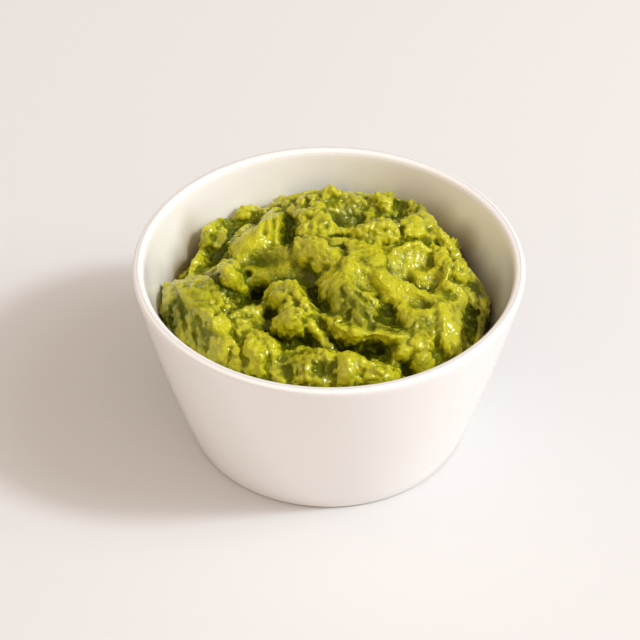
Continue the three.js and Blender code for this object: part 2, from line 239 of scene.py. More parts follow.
def mash_material(heap):
    """Wet mashed avocado: painted light on its crests, painted shade in its hollows, with soft
    glints.
    """
    shader = Shader(bpy.data.materials.new("guacamole"))
    where = shader.place()
    # crest and hollow are masks for painted light on crests and painted shade in hollows
    crest = shader.attribute("crest")
    painted_fold_shade = shader.attribute("hollow")
    calm = shader.attribute("calm")
    broad = shader.noise(where, 60.0, detail=2.0)
    mottle = shader.noise(where, 240.0, detail=3.0, roughness=0.55, distortion=0.4)
    fine = shader.noise(where, 900.0, detail=1.5, roughness=0.5)
    flecks = shader.noise(where, 620.0, detail=2.0, distortion=0.3)
    # paler toward the crests, as painted light, mixed with random tone
    tone = (broad.band(0.35, 0.65) * 0.2 + mottle.band(0.34, 0.66) * 0.3
            + flecks.band(0.34, 0.66) * 0.35 + crest * 0.85)
    colour = shader.mix(tone.band(0.25, 1.3), rgba(heap.middle), rgba(heap.bright))
    # darker green away from the crests and in the hollows, as painted shade, mixed with random
    # mottle
    green_and_shade = (0.5 - mottle).band(0.0, 0.25) * 0.3 + (0.5 - crest).band(0.0, 0.5) * 0.35
    colour = shader.mix(green_and_shade + painted_fold_shade * mottle * 1.4, colour, rgba(heap.painted_fold_shade))
    wet = shader.noise(where, 330.0, detail=2.0)
    grains = shader.add("ShaderNodeTexVoronoi", {"feature": "SMOOTH_F1"}, Vector=where, Scale=900.0,
                        Smoothness=0.4)
    strokes = shader.add("ShaderNodeTexVoronoi", {"feature": "DISTANCE_TO_EDGE"}, Vector=where,
                         Scale=950.0)
    height = (fine * 1.3 - grains * 0.5) * (1 - calm) + (strokes * 3.0 + fine * 0.8) * calm
    normal = shader.bump(height, 0.5, 0.32 * MM)
    return shader.finish(
        "Principled BSDF", Base_Color=colour, Roughness=0.06 + wet * 0.08 + calm * 0.08,
        Normal=normal, IOR=1.36, Specular_Tint=(1.0, 0.97, 0.35, 1.0),
        Coat_Weight=crest.band(0.05, 0.55) * (wet * 1.3 + 0.1) * (1 - calm * 0.6),
        Coat_Roughness=0.12, Coat_IOR=1.45,
        Subsurface_Weight=0.3, Subsurface_Radius=(1.0, 0.9, 0.15), Subsurface_Scale=0.7 * MM)


def floor_material():
    """A plain pale table."""
    shader = Shader(bpy.data.materials.new("table"))
    where = shader.place()
    return shader.finish("Principled BSDF", Base_Color=(0.705, 0.70, 0.70, 1.0),
                         Specular_IOR_Level=0.1, Roughness=0.75 + 0.05 * shader.noise(where, 5.0))


# ---- helpers --------------------------------------------------------------------------------


def deselect():
    if bpy.context.object and bpy.context.object.mode != "OBJECT":
        bpy.ops.object.mode_set(mode="OBJECT")
    bpy.ops.object.select_all(action="DESELECT")


def make_active(piece):
    deselect()
    piece.select_set(True)
    bpy.context.view_layer.objects.active = piece


def pick_faces(piece, test):
    """Selects the faces whose centre and normal pass the test, in edit mode."""
    edit = bmesh.from_edit_mesh(piece.data)
    bpy.ops.mesh.select_mode(type="FACE")
    bpy.ops.mesh.select_all(action="DESELECT")
    chosen = [face for face in edit.faces if test(face.calc_center_median(), face.normal)]
    if not chosen:
        raise RuntimeError(f"{piece.name}: no face passes the test")
    for face in chosen:
        face.select_set(True)
    bmesh.update_edit_mesh(piece.data)


def pick_edges(piece, test):
    """Selects the edges whose two ends pass the test, in edit mode."""
    edit = bmesh.from_edit_mesh(piece.data)
    bpy.ops.mesh.select_mode(type="EDGE")
    bpy.ops.mesh.select_all(action="DESELECT")
    chosen = [edge for edge in edit.edges if test(edge.verts[0].co, edge.verts[1].co)]
    if not chosen:
        raise RuntimeError(f"{piece.name}: no edge passes the test")
    for edge in chosen:
        edge.select_set(True)
    edit.select_flush(True)
    bmesh.update_edit_mesh(piece.data)


def modify(piece, kind, **settings):
    """Adds a modifier and applies it."""
    make_active(piece)
    modifier = piece.modifiers.new(kind.title(), kind)
    for key, value in settings.items():
        setattr(modifier, key, value)
    bpy.ops.object.modifier_apply(modifier=modifier.name)


def vertices_of(piece, what="co"):
    """The place of each vertex, or its normal, as rows."""
    flat = np.empty(len(piece.data.vertices) * 3)
    piece.data.vertices.foreach_get(what, flat)
    return flat.reshape(-1, 3)


def tree_of(piece):
    """The faces of a piece, ready for rays and nearest points."""
    faces = [tuple(face.vertices) for face in piece.data.polygons]
    return BVHTree.FromPolygons(vertices_of(piece).tolist(), faces)


def move_vertices(piece, places):
    piece.data.vertices.foreach_set("co", places.ravel())
    piece.data.update()


def smooth_step(low, high, value):
    t = np.clip((value - low) / (high - low), 0.0, 1.0)
    return t * t * (3 - 2 * t)


def set_group(piece, name, weights):
    """A vertex group with one weight for each vertex, for a modifier to read."""
    group = piece.vertex_groups.get(name) or piece.vertex_groups.new(name=name)
    levels = np.round(weights * 20).astype(int)
    for level in range(21):
        members = np.flatnonzero(levels == level).tolist()
        if members:
            group.add(members, level / 20, "REPLACE")


def set_attribute(piece, name, values):
    layer = piece.data.attributes.get(name) or piece.data.attributes.new(name, "FLOAT", "POINT")
    layer.data.foreach_set("value", values.astype(np.float32))


# ---- the bowl -------------------------------------------------------------------------------


# rows of faces up the wall, as shares of its height: closer where the painted shadow of the heap
# lies
LOW_ROWS = np.linspace(0.1, 0.5, 5)
HIGH_ROWS = np.linspace(0.56, 0.94, 15)


def wall_radius(bowl, height):
    """Outer radius of the wall at a height, for one number or an array."""
    t = height / bowl.height
    return bowl.foot_radius + (bowl.radius - bowl.foot_radius) * t + bowl.bulge * 4 * t * (1 - t)


def make_bowl(bowl):
    """Turned from a drum: opened out, hollowed, given a foot ring, and its edges rounded."""
    deselect()
    bpy.ops.mesh.primitive_cylinder_add(vertices=bowl.sides, radius=bowl.foot_radius,
                                        depth=bowl.height, location=(0, 0, bowl.height / 2))
    piece = bpy.context.object
    piece.name = "glazed_bowl"
    bpy.ops.object.transform_apply(location=True, rotation=False, scale=False)
    bpy.ops.object.mode_set(mode="EDIT")
    pick_faces(piece, lambda centre, normal: normal.z > 0.9)
    bpy.ops.transform.resize(value=(bowl.radius / bowl.foot_radius,) * 2 + (1,),
                             center_override=(0, 0, bowl.height))
    bpy.ops.mesh.inset(thickness=bowl.lip, depth=0)
    floor_radius = wall_radius(bowl, bowl.floor) - bowl.lip
    bpy.ops.mesh.extrude_region_move(
        TRANSFORM_OT_translate={"value": (0, 0, bowl.floor - bowl.height)})
    scale = floor_radius / (bowl.radius - bowl.lip)
    bpy.ops.transform.resize(value=(scale, scale, 1), center_override=(0, 0, bowl.floor))
    pick_faces(piece, lambda centre, normal: normal.z < -0.9)
    bpy.ops.mesh.inset(thickness=bowl.ring, depth=0)
    bpy.ops.mesh.extrude_region_move(TRANSFORM_OT_translate={"value": (0, 0, bowl.recess)})
    scale = 1 - bowl.recess / (bowl.foot_radius - bowl.ring)
    bpy.ops.transform.resize(value=(scale, scale, 1), center_override=(0, 0, bowl.recess))

    def ring(radius, height):
        return lambda a, b: all(abs(v.z - height) < 1e-5 and abs(v.xy.length - radius) < 1e-4
                                for v in (a, b))

    def lip_edge(a, b):
        return min(a.z, b.z) > bowl.height - 1e-5 and abs(a.xy.length - b.xy.length) < 1e-5

    pick_edges(piece, ring(floor_radius, bowl.floor))
    bpy.ops.mesh.bevel(offset=bowl.fillet * 0.6, segments=10, profile=0.5)
    pick_edges(piece, lip_edge)
    bpy.ops.mesh.bevel(offset=bowl.lip * 0.49, segments=6, profile=0.5)
    pick_edges(piece, ring(bowl.foot_radius, 0))
    bpy.ops.mesh.bevel(offset=0.9 * MM, segments=4, profile=0.5)
    for height in np.hstack([LOW_ROWS, HIGH_ROWS]) * bowl.height:
        bpy.ops.mesh.select_all(action="SELECT")
        bpy.ops.mesh.bisect(plane_co=(0, 0, height), plane_no=(0, 0, 1))
    bpy.ops.mesh.select_all(action="SELECT")
    bpy.ops.mesh.normals_make_consistent(inside=False)
    bpy.ops.object.mode_set(mode="OBJECT")

    places = vertices_of(piece)
    reach = np.hypot(places[:, 0], places[:, 1])
    t = places[:, 2] / bowl.height
    outer = smooth_step(0.85, 0.97, reach / wall_radius(bowl, places[:, 2]))
    bow = bowl.bulge * 4 * t * (1 - t) * outer
    places[:, :2] *= (1 + bow / np.maximum(reach, 1e-6))[:, None]
    move_vertices(piece, places)
    make_active(piece)
    bpy.ops.object.shade_smooth_by_angle(angle=math.radians(40))
    piece.data.materials.append(glaze_material(bowl))
    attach(piece, "root")
    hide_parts("bowl")
    return piece


# ---- the heap's strokes ---------------------------------------------------------------------
# Seen from the camera: a path holds view points, right and down on a view 640 wide and high.
# Widths, heights and depths are in mm on the surface.

PATCHES = [   # name, rise, dome, edge, faces (right, up), outline
    ("back left slope", 0.2, 0.5, 1.2, (0.0, 0.0), [
        (226, 225), (240, 219), (257, 221), (256, 227), (244, 233), (234, 242), (229, 252),
        (224, 263), (214, 262), (215, 250)]),
    ("back left 1", 2.2, 1.2, 1.4, (-0.1, 0.1), [
        (199, 248), (199, 237), (203, 227), (211, 220), (218, 222), (217, 231), (212, 240),
        (210, 249)]),
    ("back left 2", 1.8, 0.8, 1.2, (0.0, 0.0), [
        (210, 218), (217, 212), (228, 211), (228, 218), (221, 223), (213, 222)]),
    ("back left 3", 1.6, 1.0, 1.3, (0.0, 0.0), [
        (214, 251), (215, 241), (219, 232), (226, 230), (228, 238), (225, 247), (221, 253)]),
    ("back left ridge", 1.4, 1.0, 1.2, (0.0, 0.2), [
        (229, 213), (240, 208), (246, 202), (251, 198), (256, 203), (262, 208), (262, 216),
        (250, 222), (236, 222), (230, 218)]),
    ("left lump 1", 1.6, 1.0, 1.2, (0.0, 0.0), [
        (191, 263), (193, 257), (198, 254), (203, 257), (207, 263), (204, 268), (197, 272),
        (191, 269)]),
    ("left lump 2", 1.2, 0.8, 1.2, (0.0, 0.0), [
        (175, 268), (179, 261), (186, 261), (191, 268), (190, 274), (181, 274)]),
    ("left lump 3", 1.2, 0.8, 1.0, (0.0, 0.0), [
        (164, 277), (168, 271), (173, 272), (173, 279), (168, 283)]),
    ("left low ridge", 1.0, 0.8, 1.0, (0.0, 0.0), [
        (199, 273), (208, 269), (218, 268), (222, 274), (216, 279), (205, 279)]),
    ("slab", 2.2, 0.6, 0.9, (0.26, -0.18), [
        (284, 212), (280, 206), (272, 208), (266, 211), (262, 216), (258, 225), (250, 229),
        (240, 235), (232, 241), (229, 250), (233, 259), (240, 266), (252, 266), (264, 260),
        (272, 254), (279, 250), (282, 240), (283, 226)]),
    ("half moon", 2.6, 0.8, 0.9, (0.1, 0.0), [
        (217, 270), (222, 265), (228, 263), (234, 265), (240, 270), (244, 279), (245, 288),
        (238, 291), (232, 288), (224, 279)]),
    ("bank", 1.8, 1.0, 1.4, (-0.05, 0.1), [
        (173, 285), (178, 278), (184, 275), (192, 273), (199, 275), (206, 280), (213, 285),
        (220, 292), (224, 302), (222, 314), (214, 321), (204, 318), (196, 312), (186, 308),
        (181, 301), (178, 292)]),
    ("outer bank", 0.8, 1.0, 1.4, (-0.1, 0.0), [
        (160, 302), (163, 293), (170, 288), (177, 288), (180, 297), (180, 306), (175, 314),
        (168, 318), (162, 310)]),
    ("bank lump", 2.6, 0.8, 1.2, (0.0, 0.0), [
        (203, 314), (208, 308), (216, 308), (221, 313), (217, 320), (208, 320)]),
    ("pit lip", 0.6, 0.8, 1.0, (0.0, 0.0), [
        (224, 306), (229, 302), (236, 305), (238, 311), (231, 314), (225, 312)]),
    ("plateau", 2.0, 0.8, 1.4, (0.15, 0.0), [
        (232, 316), (240, 313), (248, 308), (256, 306), (262, 310), (266, 316), (268, 324),
        (264, 332), (256, 336), (246, 338), (238, 338), (232, 330), (230, 322)]),
    ("cube", 5.0, 0.2, 0.5, (0.25, 0.15), [
        (213, 333), (212, 327), (217, 322), (222, 320), (229, 322), (232, 327), (229, 331),
        (224, 335)]),
    ("front left block", 2.2, 0.8, 1.0, (0.1, -0.1), [
        (210, 362), (210, 350), (211, 340), (213, 334), (219, 333), (227, 336), (233, 340),
        (234, 346), (231, 352), (229, 368), (220, 366)]),
    ("front left block 2", 1.4, 0.8, 1.2, (0.1, 0.0), [
        (231, 352), (236, 346), (243, 350), (248, 358), (249, 374), (240, 374), (231, 370)]),
    ("front left lobe", 3.0, 1.4, 1.8, (0.1, 0.0), [
        (246, 338), (252, 331), (262, 333), (271, 338), (276, 346), (281, 355), (279, 362),
        (272, 366), (267, 380), (256, 379), (247, 375), (246, 360), (244, 348)]),
    ("front bank 1", 1.8, 0.8, 1.4, (0.0, 0.0), [
        (286, 352), (296, 350), (303, 348), (312, 349), (320, 350), (330, 353), (338, 355),
        (339, 364), (337, 384), (318, 386), (300, 386), (276, 384), (274, 370), (280, 358)]),
    ("front bank 2", 2.4, 1.0, 1.6, (0.1, 0.0), [
        (338, 359), (343, 354), (351, 353), (357, 356), (362, 361), (366, 365), (368, 373),
        (362, 386), (348, 387), (338, 386)]),
    ("front bank 3", 2.2, 1.0, 1.4, (0.1, 0.1), [
        (366, 367), (372, 362), (380, 364), (388, 367), (394, 372), (394, 382), (380, 385),
        (368, 385), (364, 376)]),
    ("front right 1", 1.6, 0.8, 1.2, (0.0, 0.0), [
        (394, 352), (400, 347), (410, 347), (413, 353), (408, 360), (398, 361)]),
    ("front right 2", 2.0, 0.8, 1.2, (0.1, 0.0), [
        (412, 342), (420, 336), (424, 342), (421, 352), (414, 356), (409, 350)]),
    ("front right 3", 2.0, 0.6, 1.0, (0.1, 0.0), [
        (424, 346), (428, 338), (433, 341), (433, 350), (427, 354)]),
    ("front right 4", 2.4, 0.8, 1.2, (0.1, 0.1), [
        (414, 359), (421, 355), (430, 356), (436, 361), (432, 368), (422, 372), (415, 369)]),
    ("front right 5", 1.0, 0.5, 1.2, (0.0, 0.0), [
        (390, 362), (396, 360), (402, 366), (400, 376), (392, 378)]),
    ("column", 2.2, 0.6, 1.6, (0.3, 0.1), [
        (437, 307), (448, 304), (458, 304), (466, 306), (463, 316), (461, 328), (462, 340),
        (460, 352), (452, 358), (446, 356), (442, 345), (440, 330), (438, 318)]),
    ("low dish rim", 1.6, 0.2, 1.2, (0.1, 0.0), [
        (436, 284), (447, 283), (456, 285), (463, 289), (468, 297), (470, 306), (461, 307),
        (457, 300), (451, 295), (444, 292)]),
    ("right mass", 1.0, 1.0, 1.6, (0.1, 0.0), [
        (466, 288), (475, 285), (484, 288), (488, 296), (488, 304), (485, 318), (482, 330),
        (478, 342), (468, 350), (463, 345), (464, 330), (467, 315), (470, 304)]),
    ("right shoulder", 1.2, 0.8, 1.2, (0.0, 0.0), [
        (452, 262), (458, 260), (466, 264), (474, 271), (480, 281), (474, 284), (464, 283),
        (456, 279), (452, 272)]),
    ("lobe", 3.0, 2.4, 2.4, (-0.1, 0.0), [
        (330, 272), (338, 270), (346, 273), (354, 281), (360, 292), (370, 298), (378, 306),
        (378, 318), (371, 330), (358, 334), (346, 332), (336, 327), (328, 318), (322, 305),
        (318, 292), (320, 280)]),
    ("dish foot", 0.5, 0.2, 1.2, (0.15, -0.15), [
        (404, 276), (416, 274), (430, 274), (442, 279), (440, 286), (430, 290), (418, 290),
        (408, 284)]),
    ("low dish floor", 0.2, 0.0, 1.0, (0.1, 0.2), [
        (426, 290), (440, 292), (452, 292), (460, 298), (461, 304), (448, 304), (436, 306),
        (430, 300)]),
    ("hill", 1.6, 0.8, 1.4, (-0.05, 0.0), [
        (398, 309), (412, 308), (425, 308), (436, 310), (439, 322), (438, 336), (428, 339),
        (414, 340), (404, 336), (402, 326), (399, 317)]),
    ("shelf", 2.8, 0.2, 1.0, (0.0, 0.1), [
        (318, 307), (323, 308), (332, 313), (344, 320), (356, 324), (368, 326), (380, 328),
        (396, 333), (408, 335), (408, 340), (396, 344), (384, 343), (370, 342), (360, 345),
        (350, 342), (340, 340), (330, 332), (322, 322), (316, 314)]),
    ("saddle", 2.8, 0.2, 1.2, (0.2, 0.05), [
        (345, 262), (352, 262), (362, 268), (370, 272), (384, 272), (390, 278), (401, 280),
        (413, 286), (425, 293), (434, 304), (424, 307), (412, 307), (402, 303), (392, 302),
        (385, 305), (378, 296), (368, 293), (358, 288), (350, 280), (344, 272)]),
    ("brow", 2.8, 1.4, 1.4, (0.05, 0.1), [
        (267, 296), (271, 288), (278, 283), (287, 282), (294, 285), (300, 291), (305, 300),
        (311, 311), (315, 318), (308, 318), (302, 314), (296, 312), (284, 314), (276, 308),
        (270, 304)]),
    ("knob", 5.4, 1.4, 1.6, (0.1, 0.1), [
        (275, 323), (281, 319), (289, 314), (296, 312), (302, 314), (306, 318), (303, 326),
        (297, 331), (286, 334), (278, 331), (273, 327)]),
    ("finger", 2.4, 0.4, 1.2, (0.15, 0.0), [
        (308, 321), (314, 322), (322, 330), (330, 338), (335, 346), (335, 352), (326, 352),
        (320, 346), (314, 338), (307, 329)]),
    ("middle mound", 2.4, 0.8, 3.4, (-0.1, -0.2), [
        (293, 250), (293, 243), (296, 239), (304, 238), (312, 240), (321, 243), (330, 249),
        (338, 254), (345, 258), (350, 266), (345, 272), (336, 270), (326, 272), (319, 279),
        (312, 272), (309, 264), (300, 268), (294, 262), (290, 256)]),
    ("dish back", 1.4, 0.4, 1.4, (0.1, 0.0), [
        (374, 240), (386, 244), (398, 243), (406, 246), (398, 252), (390, 258), (382, 256),
        (376, 250)]),
    ("back hollow", 0.6, 0.4, 1.6, (0.0, 0.0), [
        (328, 208), (340, 206), (352, 208), (362, 212), (360, 222), (346, 224), (334, 222),
        (326, 216)]),
    ("block", 1.8, 0.6, 1.0, (0.05, -0.1), [
        (292, 212), (300, 212), (310, 211), (319, 212), (324, 217), (331, 222), (335, 229),
        (330, 236), (320, 241), (310, 239), (302, 238), (297, 234), (299, 226), (297, 218)]),
    ("bands", 0.6, 0.2, 1.0, (0.0, -0.1), [
        (331, 230), (342, 229), (353, 230), (353, 240), (346, 244), (344, 248), (333, 247),
        (326, 241)]),
    ("mound", 2.6, 0.8, 1.2, (0.05, 0.0), [
        (354, 234), (360, 229), (367, 227), (376, 225), (388, 225), (395, 228), (400, 232),
        (400, 239), (394, 243), (386, 244), (376, 241), (366, 241), (356, 240)]),
    ("mound right", 1.8, 0.6, 1.2, (0.1, 0.0), [
        (402, 225), (410, 221), (418, 221), (425, 226), (425, 236), (418, 241), (408, 241),
        (403, 237)]),
    ("grainy mound", 2.0, 0.8, 1.2, (0.0, 0.0), [
        (347, 246), (352, 243), (362, 243), (368, 248), (378, 250), (386, 252), (388, 258),
        (384, 266), (376, 268), (366, 266), (356, 262), (348, 256)]),
    ("back 1", 1.4, 0.8, 1.4, (0.0, 0.1), [
        (272, 206), (275, 198), (281, 194), (292, 196), (300, 196), (306, 199), (308, 206),
        (303, 211), (294, 211), (282, 209)]),
    ("back 2", 1.6, 0.8, 1.4, (0.0, 0.1), [
        (301, 198), (308, 191), (318, 189), (324, 191), (327, 198), (326, 208), (318, 211),
        (309, 210)]),
    ("back peak", 2.6, 1.0, 1.4, (0.05, 0.1), [
        (322, 194), (328, 186), (333, 184), (338, 187), (341, 192), (339, 200), (331, 203),
        (325, 201)]),
    ("back 3", 1.4, 0.8, 1.4, (0.1, 0.0), [
        (327, 204), (334, 198), (342, 195), (352, 196), (362, 199), (370, 202), (369, 210),
        (362, 216), (350, 215), (340, 215), (330, 212)]),
    ("back 4", 1.8, 0.8, 1.4, (0.15, 0.0), [
        (374, 194), (384, 191), (392, 195), (393, 206), (392, 215), (384, 216), (378, 208),
        (374, 201)]),
    ("back 5", 1.2, 0.6, 1.2, (0.1, 0.0), [
        (364, 213), (372, 210), (380, 211), (384, 217), (382, 223), (370, 223), (363, 219)]),
    ("back 6", 1.6, 0.8, 1.2, (0.1, 0.0), [
        (408, 199), (414, 195), (420, 194), (424, 200), (426, 208), (425, 218), (416, 221),
        (411, 212)]),
    ("back right", 1.0, 0.8, 1.4, (0.1, 0.0), [
        (424, 218), (430, 214), (434, 220), (440, 228), (447, 237), (455, 240), (457, 247),
        (460, 257), (452, 257), (445, 247), (437, 242), (427, 241), (423, 230)]),
    ("dish rim", 0.1, 0.0, 1.0, (0.2, 0.1), [
        (430, 244), (438, 245), (446, 249), (451, 256), (452, 266), (450, 276), (446, 283),
        (441, 282), (444, 272), (444, 262), (441, 254), (434, 249)]),
]

FACETS = [                              # name, rise, edge, faces (right, up), outline: cut flat
    ("dish floor", 1.3, 0.9, (0.29, -0.14), [
        (386, 264), (390, 254), (399, 248), (411, 245), (424, 246), (431, 251), (435, 259),
        (436, 267), (432, 275), (420, 281), (406, 281), (394, 275)]),
    ("dish foot", -0.6, 1.8, (0.16, -0.16), [
        (412, 276), (424, 274), (434, 270), (441, 272), (442, 279), (436, 286), (428, 289),
        (416, 286)]),
    ("basin", -0.5, 3.0, (-0.05, -0.12), [
        (238, 268), (250, 267), (262, 263), (276, 257), (288, 253), (294, 262), (302, 270),
        (306, 279), (296, 282), (284, 280), (272, 282), (262, 285), (250, 283), (243, 278)]),
    ("saddle left", 3.0, 1.2, (0.24, -0.02), [
        (346, 263), (354, 264), (364, 270), (374, 275), (384, 275), (388, 284), (386, 296),
        (378, 293), (366, 290), (356, 284), (349, 275)]),
    ("saddle right", 1.4, 1.8, (0.14, -0.04), [
        (374, 272), (382, 272), (392, 278), (402, 283), (414, 288), (424, 294), (433, 303),
        (422, 306), (410, 305), (400, 302), (390, 300), (380, 292), (374, 282)]),
    ("cube", 4.6, 0.4, (0.3, 0.1), [
        (213, 333), (212, 327), (217, 321), (223, 319), (231, 322), (233, 328), (229, 332),
        (222, 335)]),
    ("under the slab", -0.5, 2.6, (-0.45, -0.15), [
        (252, 259), (262, 251), (276, 247), (288, 246), (293, 255), (286, 264), (272, 266),
        (258, 265)]),
]

LEDGES = [                              # name, drop, reach, path: it falls away on the path's right
    ("slab edge", 4.2, 3.0, [
        (282, 207), (271, 209), (263, 216), (258, 225), (249, 230), (239, 236), (230, 244)]),
    ("long crest step", 2.2, 2.2, [(331, 250), (320, 243), (311, 240), (302, 238), (294, 240)]),
    ("long crest side", 2.6, 2.6, [(302, 238), (294, 239), (293, 249)]),
    ("valley left side", 2.4, 2.4, [(303, 292), (308, 300), (316, 308)]),
    ("dish rim step", 2.4, 2.2, [(447, 280), (451, 270), (451, 259), (446, 250), (437, 245)]),
    ("low dish step", 2.2, 2.2, [(467, 308), (467, 299), (463, 290), (456, 285), (446, 283)]),
    ("column step", 2.6, 2.4, [(459, 352), (461, 334), (465, 310)]),
    ("curl drop", 3.0, 2.4, [
        (328, 334), (337, 340), (348, 342), (360, 344), (374, 345), (388, 345)]),
    ("front bank drop", 3.0, 2.4, [
        (388, 365), (372, 363), (362, 358), (352, 352), (336, 352), (320, 349), (303, 347)]),
    ("pit edge", 2.0, 2.4, [(268, 287), (262, 299), (258, 305), (244, 308), (236, 312)]),
]

OUTLINES = [                            # name, drop, reach, path: the heap ends on its right
    ("right outline", 13.0, 3.5, [
        (470, 356), (476, 346), (481, 334), (485, 320), (487, 306), (487, 291), (481, 284),
        (475, 275), (467, 267), (461, 257), (456, 248), (452, 243), (459, 238), (450, 236),
        (445, 232), (440, 227), (433, 217), (427, 208), (423, 200)]),
    ("back outline", 8.0, 4.0, [
        (423, 200), (417, 195), (405, 198), (392, 193), (376, 192), (356, 192), (341, 190),
        (333, 185), (322, 189), (308, 190), (298, 194), (281, 195), (274, 202), (262, 208),
        (251, 199), (240, 207), (229, 212), (217, 212), (204, 225), (200, 236), (198, 248)]),
    ("left outline", 13.0, 3.5, [
        (229, 212), (217, 212), (204, 225), (200, 236), (198, 248), (192, 256), (180, 262),
        (167, 270), (163, 277), (161, 290), (160, 302), (163, 314), (168, 325), (175, 335),
        (185, 345)]),
]

RIDGES = [                              # name, half width, height, path
    ("slab rib 1", 0.9, 0.9, [(270, 212), (269, 222), (270, 232), (268, 240)]),
    ("slab rib 2", 0.9, 0.9, [(278, 213), (278, 225), (277, 236), (278, 245)]),
    ("slab rib 3", 0.9, 0.6, [(262, 222), (259, 232), (257, 240)]),
    ("slab brow", 0.8, 0.6, [(281, 208), (272, 211), (265, 216)]),
    ("recess rim", 0.9, 1.0, [(284, 211), (292, 213), (298, 218), (300, 226)]),
    ("bank top", 1.6, 0.8, [(176, 284), (184, 277), (194, 275), (204, 279), (212, 286)]),
    ("bank face rib 1", 1.0, 0.8, [(178, 304), (178, 320), (181, 338)]),
    ("bank face rib 2", 0.9, 0.6, [(188, 312), (189, 330), (191, 345)]),
    ("bank face rib 3", 0.9, 0.5, [(198, 322), (200, 336), (203, 350)]),
    ("bank corner", 1.2, 0.8, [(183, 300), (188, 307), (196, 311), (205, 312)]),
    ("front left crest", 1.4, 1.2, [(252, 332), (262, 334), (270, 339), (276, 348), (278, 356)]),
    ("front left side", 1.0, 0.8, [(262, 352), (262, 364), (260, 376)]),
    ("plateau edge", 1.0, 0.8, [(234, 315), (243, 310), (251, 308), (258, 307)]),
    ("brow arc", 1.4, 1.2, [
        (272, 290), (278, 284), (287, 283), (295, 288), (301, 297), (310, 311)]),
    ("brow inner", 1.0, 0.8, [(284, 290), (288, 298), (290, 306)]),
    ("brow outer", 0.9, 0.9, [(309, 303), (314, 308), (315, 316)]),
    ("finger", 1.3, 1.4, [(308, 321), (315, 327), (322, 334), (329, 341), (333, 349)]),
    ("curl top", 1.1, 1.3, [(319, 308), (324, 315), (331, 322), (338, 329), (347, 332)]),
    ("curl", 1.1, 1.3, [
        (347, 332), (357, 334), (367, 337), (378, 337), (389, 338), (398, 340), (405, 337)]),
    ("lobe rib 1", 1.0, 0.9, [(333, 284), (334, 298), (338, 311)]),
    ("lobe rib 2", 1.0, 0.9, [(354, 296), (362, 303), (371, 308), (377, 314)]),
    ("lobe rib 3", 1.0, 1.0, [(352, 309), (358, 317), (364, 324), (369, 329)]),
    ("lobe outline", 1.0, 0.8, [(330, 271), (322, 277), (318, 286), (320, 296)]),
    ("lobe top", 1.2, 0.6, [(332, 273), (342, 273), (350, 280)]),
    ("middle crest", 0.9, 0.8, [(345, 257), (353, 262), (362, 267), (370, 270)]),
    ("long crest", 1.1, 1.2, [
        (294, 248), (294, 241), (302, 239), (312, 241), (321, 244), (329, 250)]),
    ("crest end", 0.9, 1.0, [(408, 292), (417, 294), (424, 298), (429, 303), (435, 307)]),
    ("dish rim", 1.0, 0.3, [
        (430, 245), (438, 247), (445, 251), (449, 259), (449, 269), (446, 279)]),
    ("dish back lip", 0.9, 0.6, [(399, 250), (406, 247), (416, 245), (426, 244)]),
    ("low dish rim", 1.1, 0.7, [
        (440, 285), (450, 285), (458, 287), (463, 292), (466, 299), (466, 307)]),
    ("low dish lip", 0.8, 0.6, [(434, 305), (444, 303), (455, 304), (464, 303)]),
    ("column edge", 1.4, 0.9, [(464, 308), (461, 320), (459, 332), (460, 344), (457, 354)]),
    ("column rib 1", 1.2, 0.8, [(447, 311), (443, 322), (443, 336), (446, 350)]),
    ("column rib 2", 1.0, 0.6, [(455, 320), (453, 335), (455, 346)]),
    ("front crest left", 1.2, 1.2, [
        (288, 352), (296, 350), (304, 349), (313, 350), (322, 351), (331, 353)]),
    ("front crest right", 1.2, 1.2, [
        (340, 354), (350, 354), (358, 357), (364, 363), (374, 365), (385, 366)]),
    ("front rib 1", 1.4, 1.1, [(307, 352), (306, 363), (308, 377)]),
    ("front rib 2", 1.5, 1.1, [(349, 356), (348, 368), (348, 382)]),
    ("front rib 3", 1.1, 0.8, [(325, 354), (326, 363)]),
    ("front rib 4", 1.1, 0.8, [(274, 352), (273, 364), (274, 377)]),
    ("back rib", 1.0, 0.9, [(386, 200), (388, 210), (386, 218)]),
    ("back peak ridge", 1.0, 0.8, [(334, 189), (344, 194), (354, 198), (362, 200)]),
    ("mound crest", 1.1, 1.0, [(358, 231), (367, 228), (377, 226), (388, 227), (393, 233)]),
    ("block crest", 1.1, 1.2, [
        (301, 213), (310, 213), (319, 213), (326, 219), (332, 225), (334, 231)]),
    ("block rib 1", 0.8, 0.7, [(304, 216), (305, 226), (303, 234)]),
    ("block rib 2", 0.8, 0.7, [(313, 216), (314, 226), (313, 236)]),
    ("block rib 3", 0.8, 0.7, [(321, 219), (322, 228), (324, 238)]),
    ("band 1", 0.8, 0.7, [(329, 230), (340, 231), (351, 231)]),
    ("band 2", 0.8, 0.7, [(330, 240), (340, 240), (350, 241)]),
    ("back right ridge", 1.0, 0.9, [(423, 222), (423, 230), (421, 238)]),
    ("back right edge", 0.9, 0.8, [(438, 229), (443, 234), (447, 239)]),
    ("right shoulder", 1.0, 0.8, [(452, 262), (460, 262), (467, 268)]),
    ("right mass rib 1", 1.1, 0.8, [(484, 294), (485, 306), (482, 320)]),
    ("right mass rib 2", 1.0, 0.8, [(474, 296), (473, 310), (471, 325)]),
]

